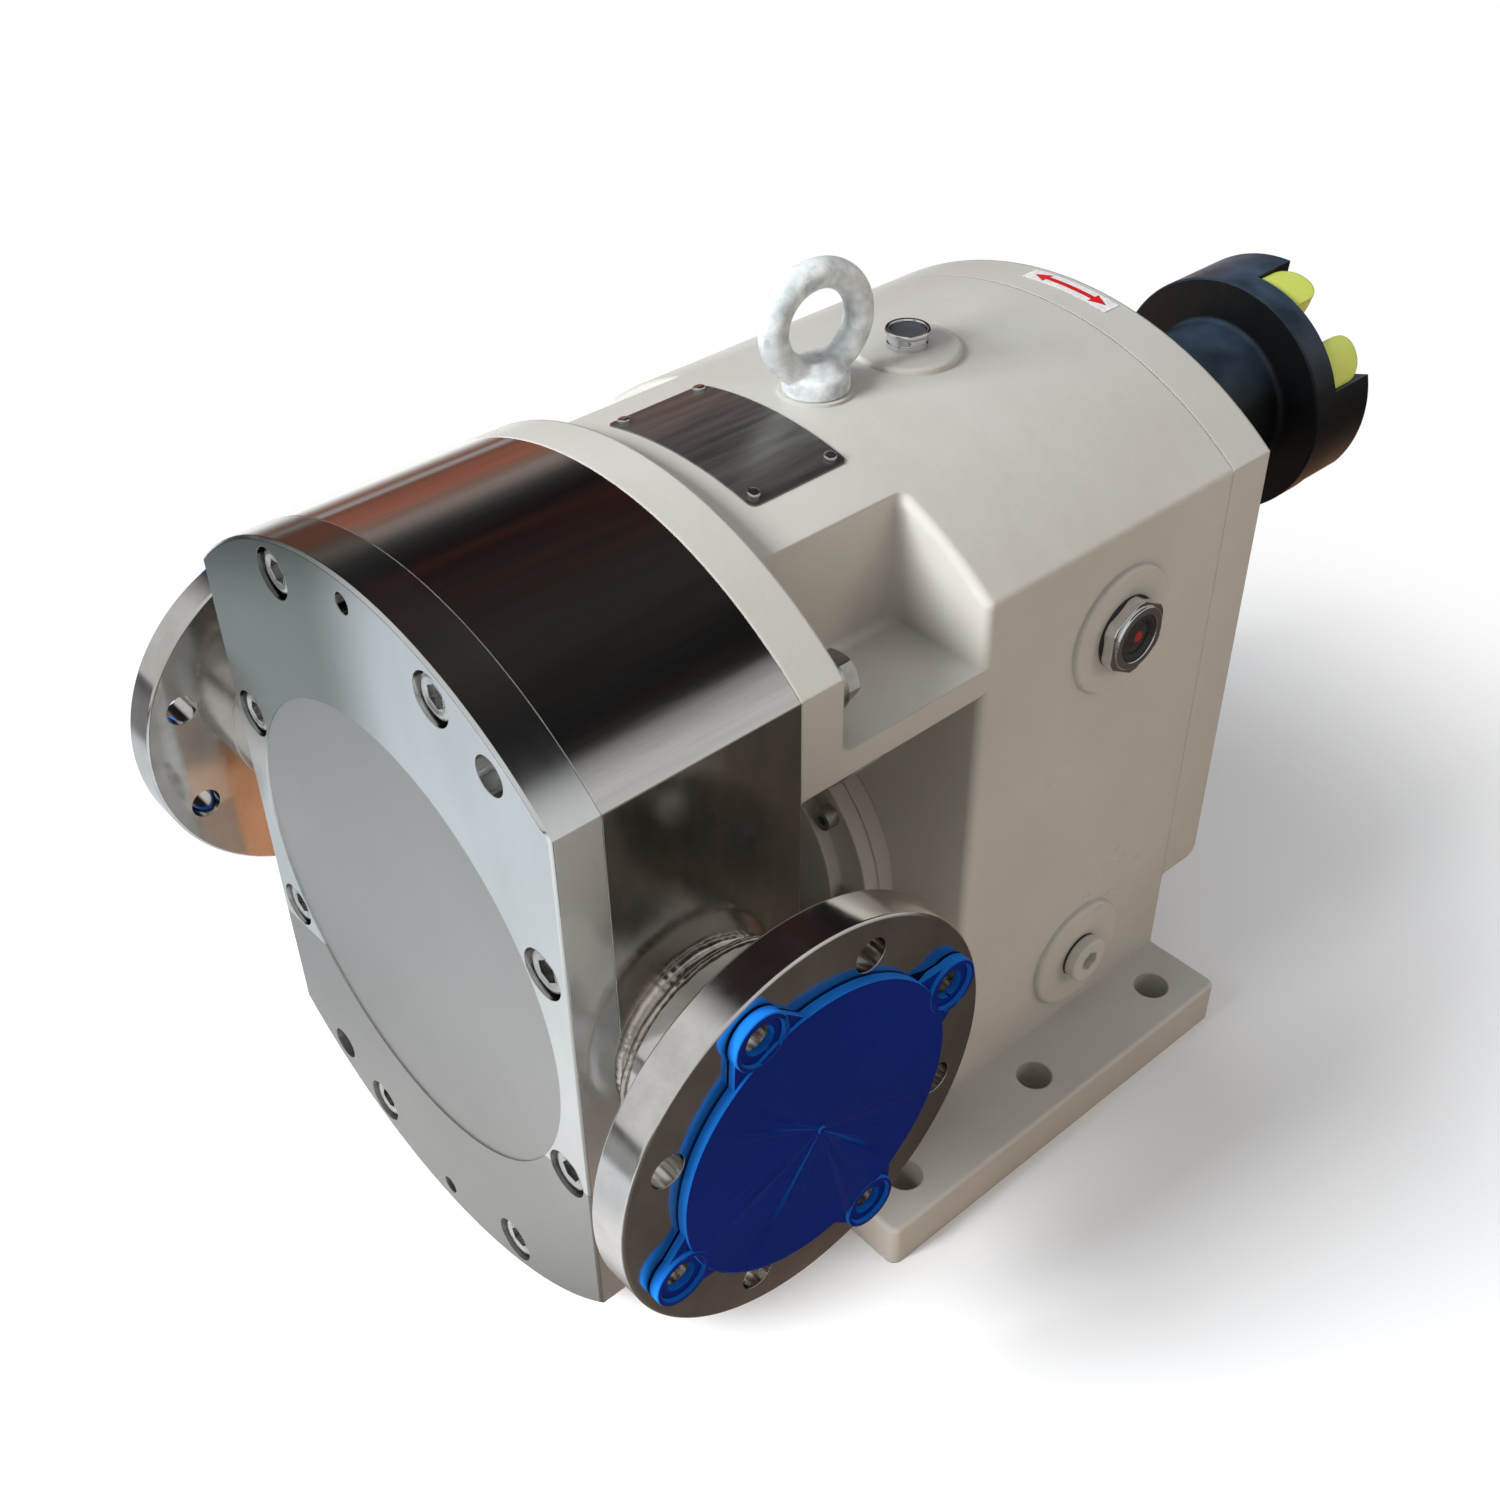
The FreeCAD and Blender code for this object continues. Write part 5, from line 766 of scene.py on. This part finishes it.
label_wrap.use_negative_direction = True
label_wrap.use_positive_direction = False
label_wrap.offset = 0.0002
bpy.ops.object.modifier_apply(modifier=label_wrap.name)
label_wall = label.modifiers.new("film", "SOLIDIFY")
label_wall.thickness = 0.0002
label_wall.offset = 1.0
bpy.ops.object.modifier_apply(modifier=label_wall.name)
settle(label, "direction_label", "housing", label_film)


# Port caps: moulded in blue plastic, a shallow disc with a spigot that plugs the bore and
# four eyelets over flange holes, each on a web that flares into the disc.
blue_plastic, cap_tree, cap_shader = new_material("blue_plastic", Specular_IOR_Level=0.06)
cap_surface = use_group(cap_tree, "cast_skin", Colour=(0.0008, 0.017, 0.20, 1), Shade=(0.0006, 0.012, 0.15, 1),
                        Grain=420.0, Low=0.36, High=0.48)
dress(cap_tree, cap_shader, cap_surface, 0.0006, 0.00003)
# Painted light: faces that do not face out along the port, the rims and webs, are painted a lighter blue than the
# outward faces.
cap_facing = put(cap_tree, "SeparateXYZ", {"Vector": put(cap_tree, "NewGeometry").outputs["Normal"]}).outputs["X"]
cap_outwards = put(cap_tree, "Math", {0: cap_facing}, operation="ABSOLUTE").outputs[0]
cap_tree.links.new(mix(cap_tree, ramp(cap_tree, cap_outwards, [(0.4, 0.0), (0.9, 1.0)]),
                       (0.012, 0.18, 0.68, 1), cap_surface["Colour"]), cap_shader.inputs["Base Color"])

cap_face = Vector((0.22875, -0.2395, 0.229))
cap_right = turned(cap_face, (1, 0, 0), [(0.5, 0), (0.5, 47.6), (-12.2, 47.6), (-12.2, 49.2), (-11.6, 49.6),
                                         (0, 49.6), (0, 79.4), (0.6, 80), (4.6, 80), (5.5, 79.6), (6.0, 78.6),
                                         (6.0, 2.2), (7.0, 1.6), (7.0, 0)], 128)
for number in range(4):
    turn = math.radians(22.5 + 90 * number)
    outwards = Vector((0, math.cos(turn), math.sin(turn)))
    eyelet = turned(cap_face + outwards * 0.090, (1, 0, 0), [(0.2, 0), (0.2, 14.6), (0.6, 15), (5.6, 15), (6.2, 14.6),
                                                            (6.2, 12.8), (5.8, 12.4), (4.0, 12.2), (4.0, 0)], 56)
    bpy.ops.mesh.primitive_cube_add(size=1, location=cap_face + outwards * 0.0825 + Vector((0.0022, 0, 0)))
    web = bpy.context.object
    web.scale = (0.0038, 0.017, 0.0294)
    web.rotation_euler = (turn, 0, 0)
    bpy.ops.object.transform_apply(location=False, rotation=False, scale=True)
    for point in web.data.vertices:
        if point.co.y < 0:
            point.co.z *= 1.55
    join_shape(eyelet, web, "UNION")
    join_shape(cap_right, eyelet, "UNION")
    bpy.ops.mesh.primitive_cylinder_add(vertices=40, radius=0.0078, depth=0.03,
                                        location=cap_face + outwards * 0.090, rotation=(0, math.pi / 2, 0))
    join_shape(cap_right, bpy.context.object, "DIFFERENCE")
cut_edges(cap_right, 0.0005, 2, 30)
bpy.ops.object.transform_apply(location=True, rotation=True, scale=True)
cap_left = cap_right.copy()
cap_left.data = cap_right.data.copy()
bpy.context.collection.objects.link(cap_left)
cap_left.scale = (-1, 1, 1)
settle(cap_right, "cap_right", "right_cap", blue_plastic)
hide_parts("port_cap_right")
settle(cap_left, "cap_left", "left_cap", blue_plastic)
bpy.ops.object.mode_set(mode="EDIT")
bpy.ops.mesh.select_all(action="SELECT")
bpy.ops.mesh.normals_make_consistent(inside=False)
bpy.ops.object.mode_set(mode="OBJECT")
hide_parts("port_cap_left")
finish(blue_plastic, "port_cap_right", "port_cap_left")
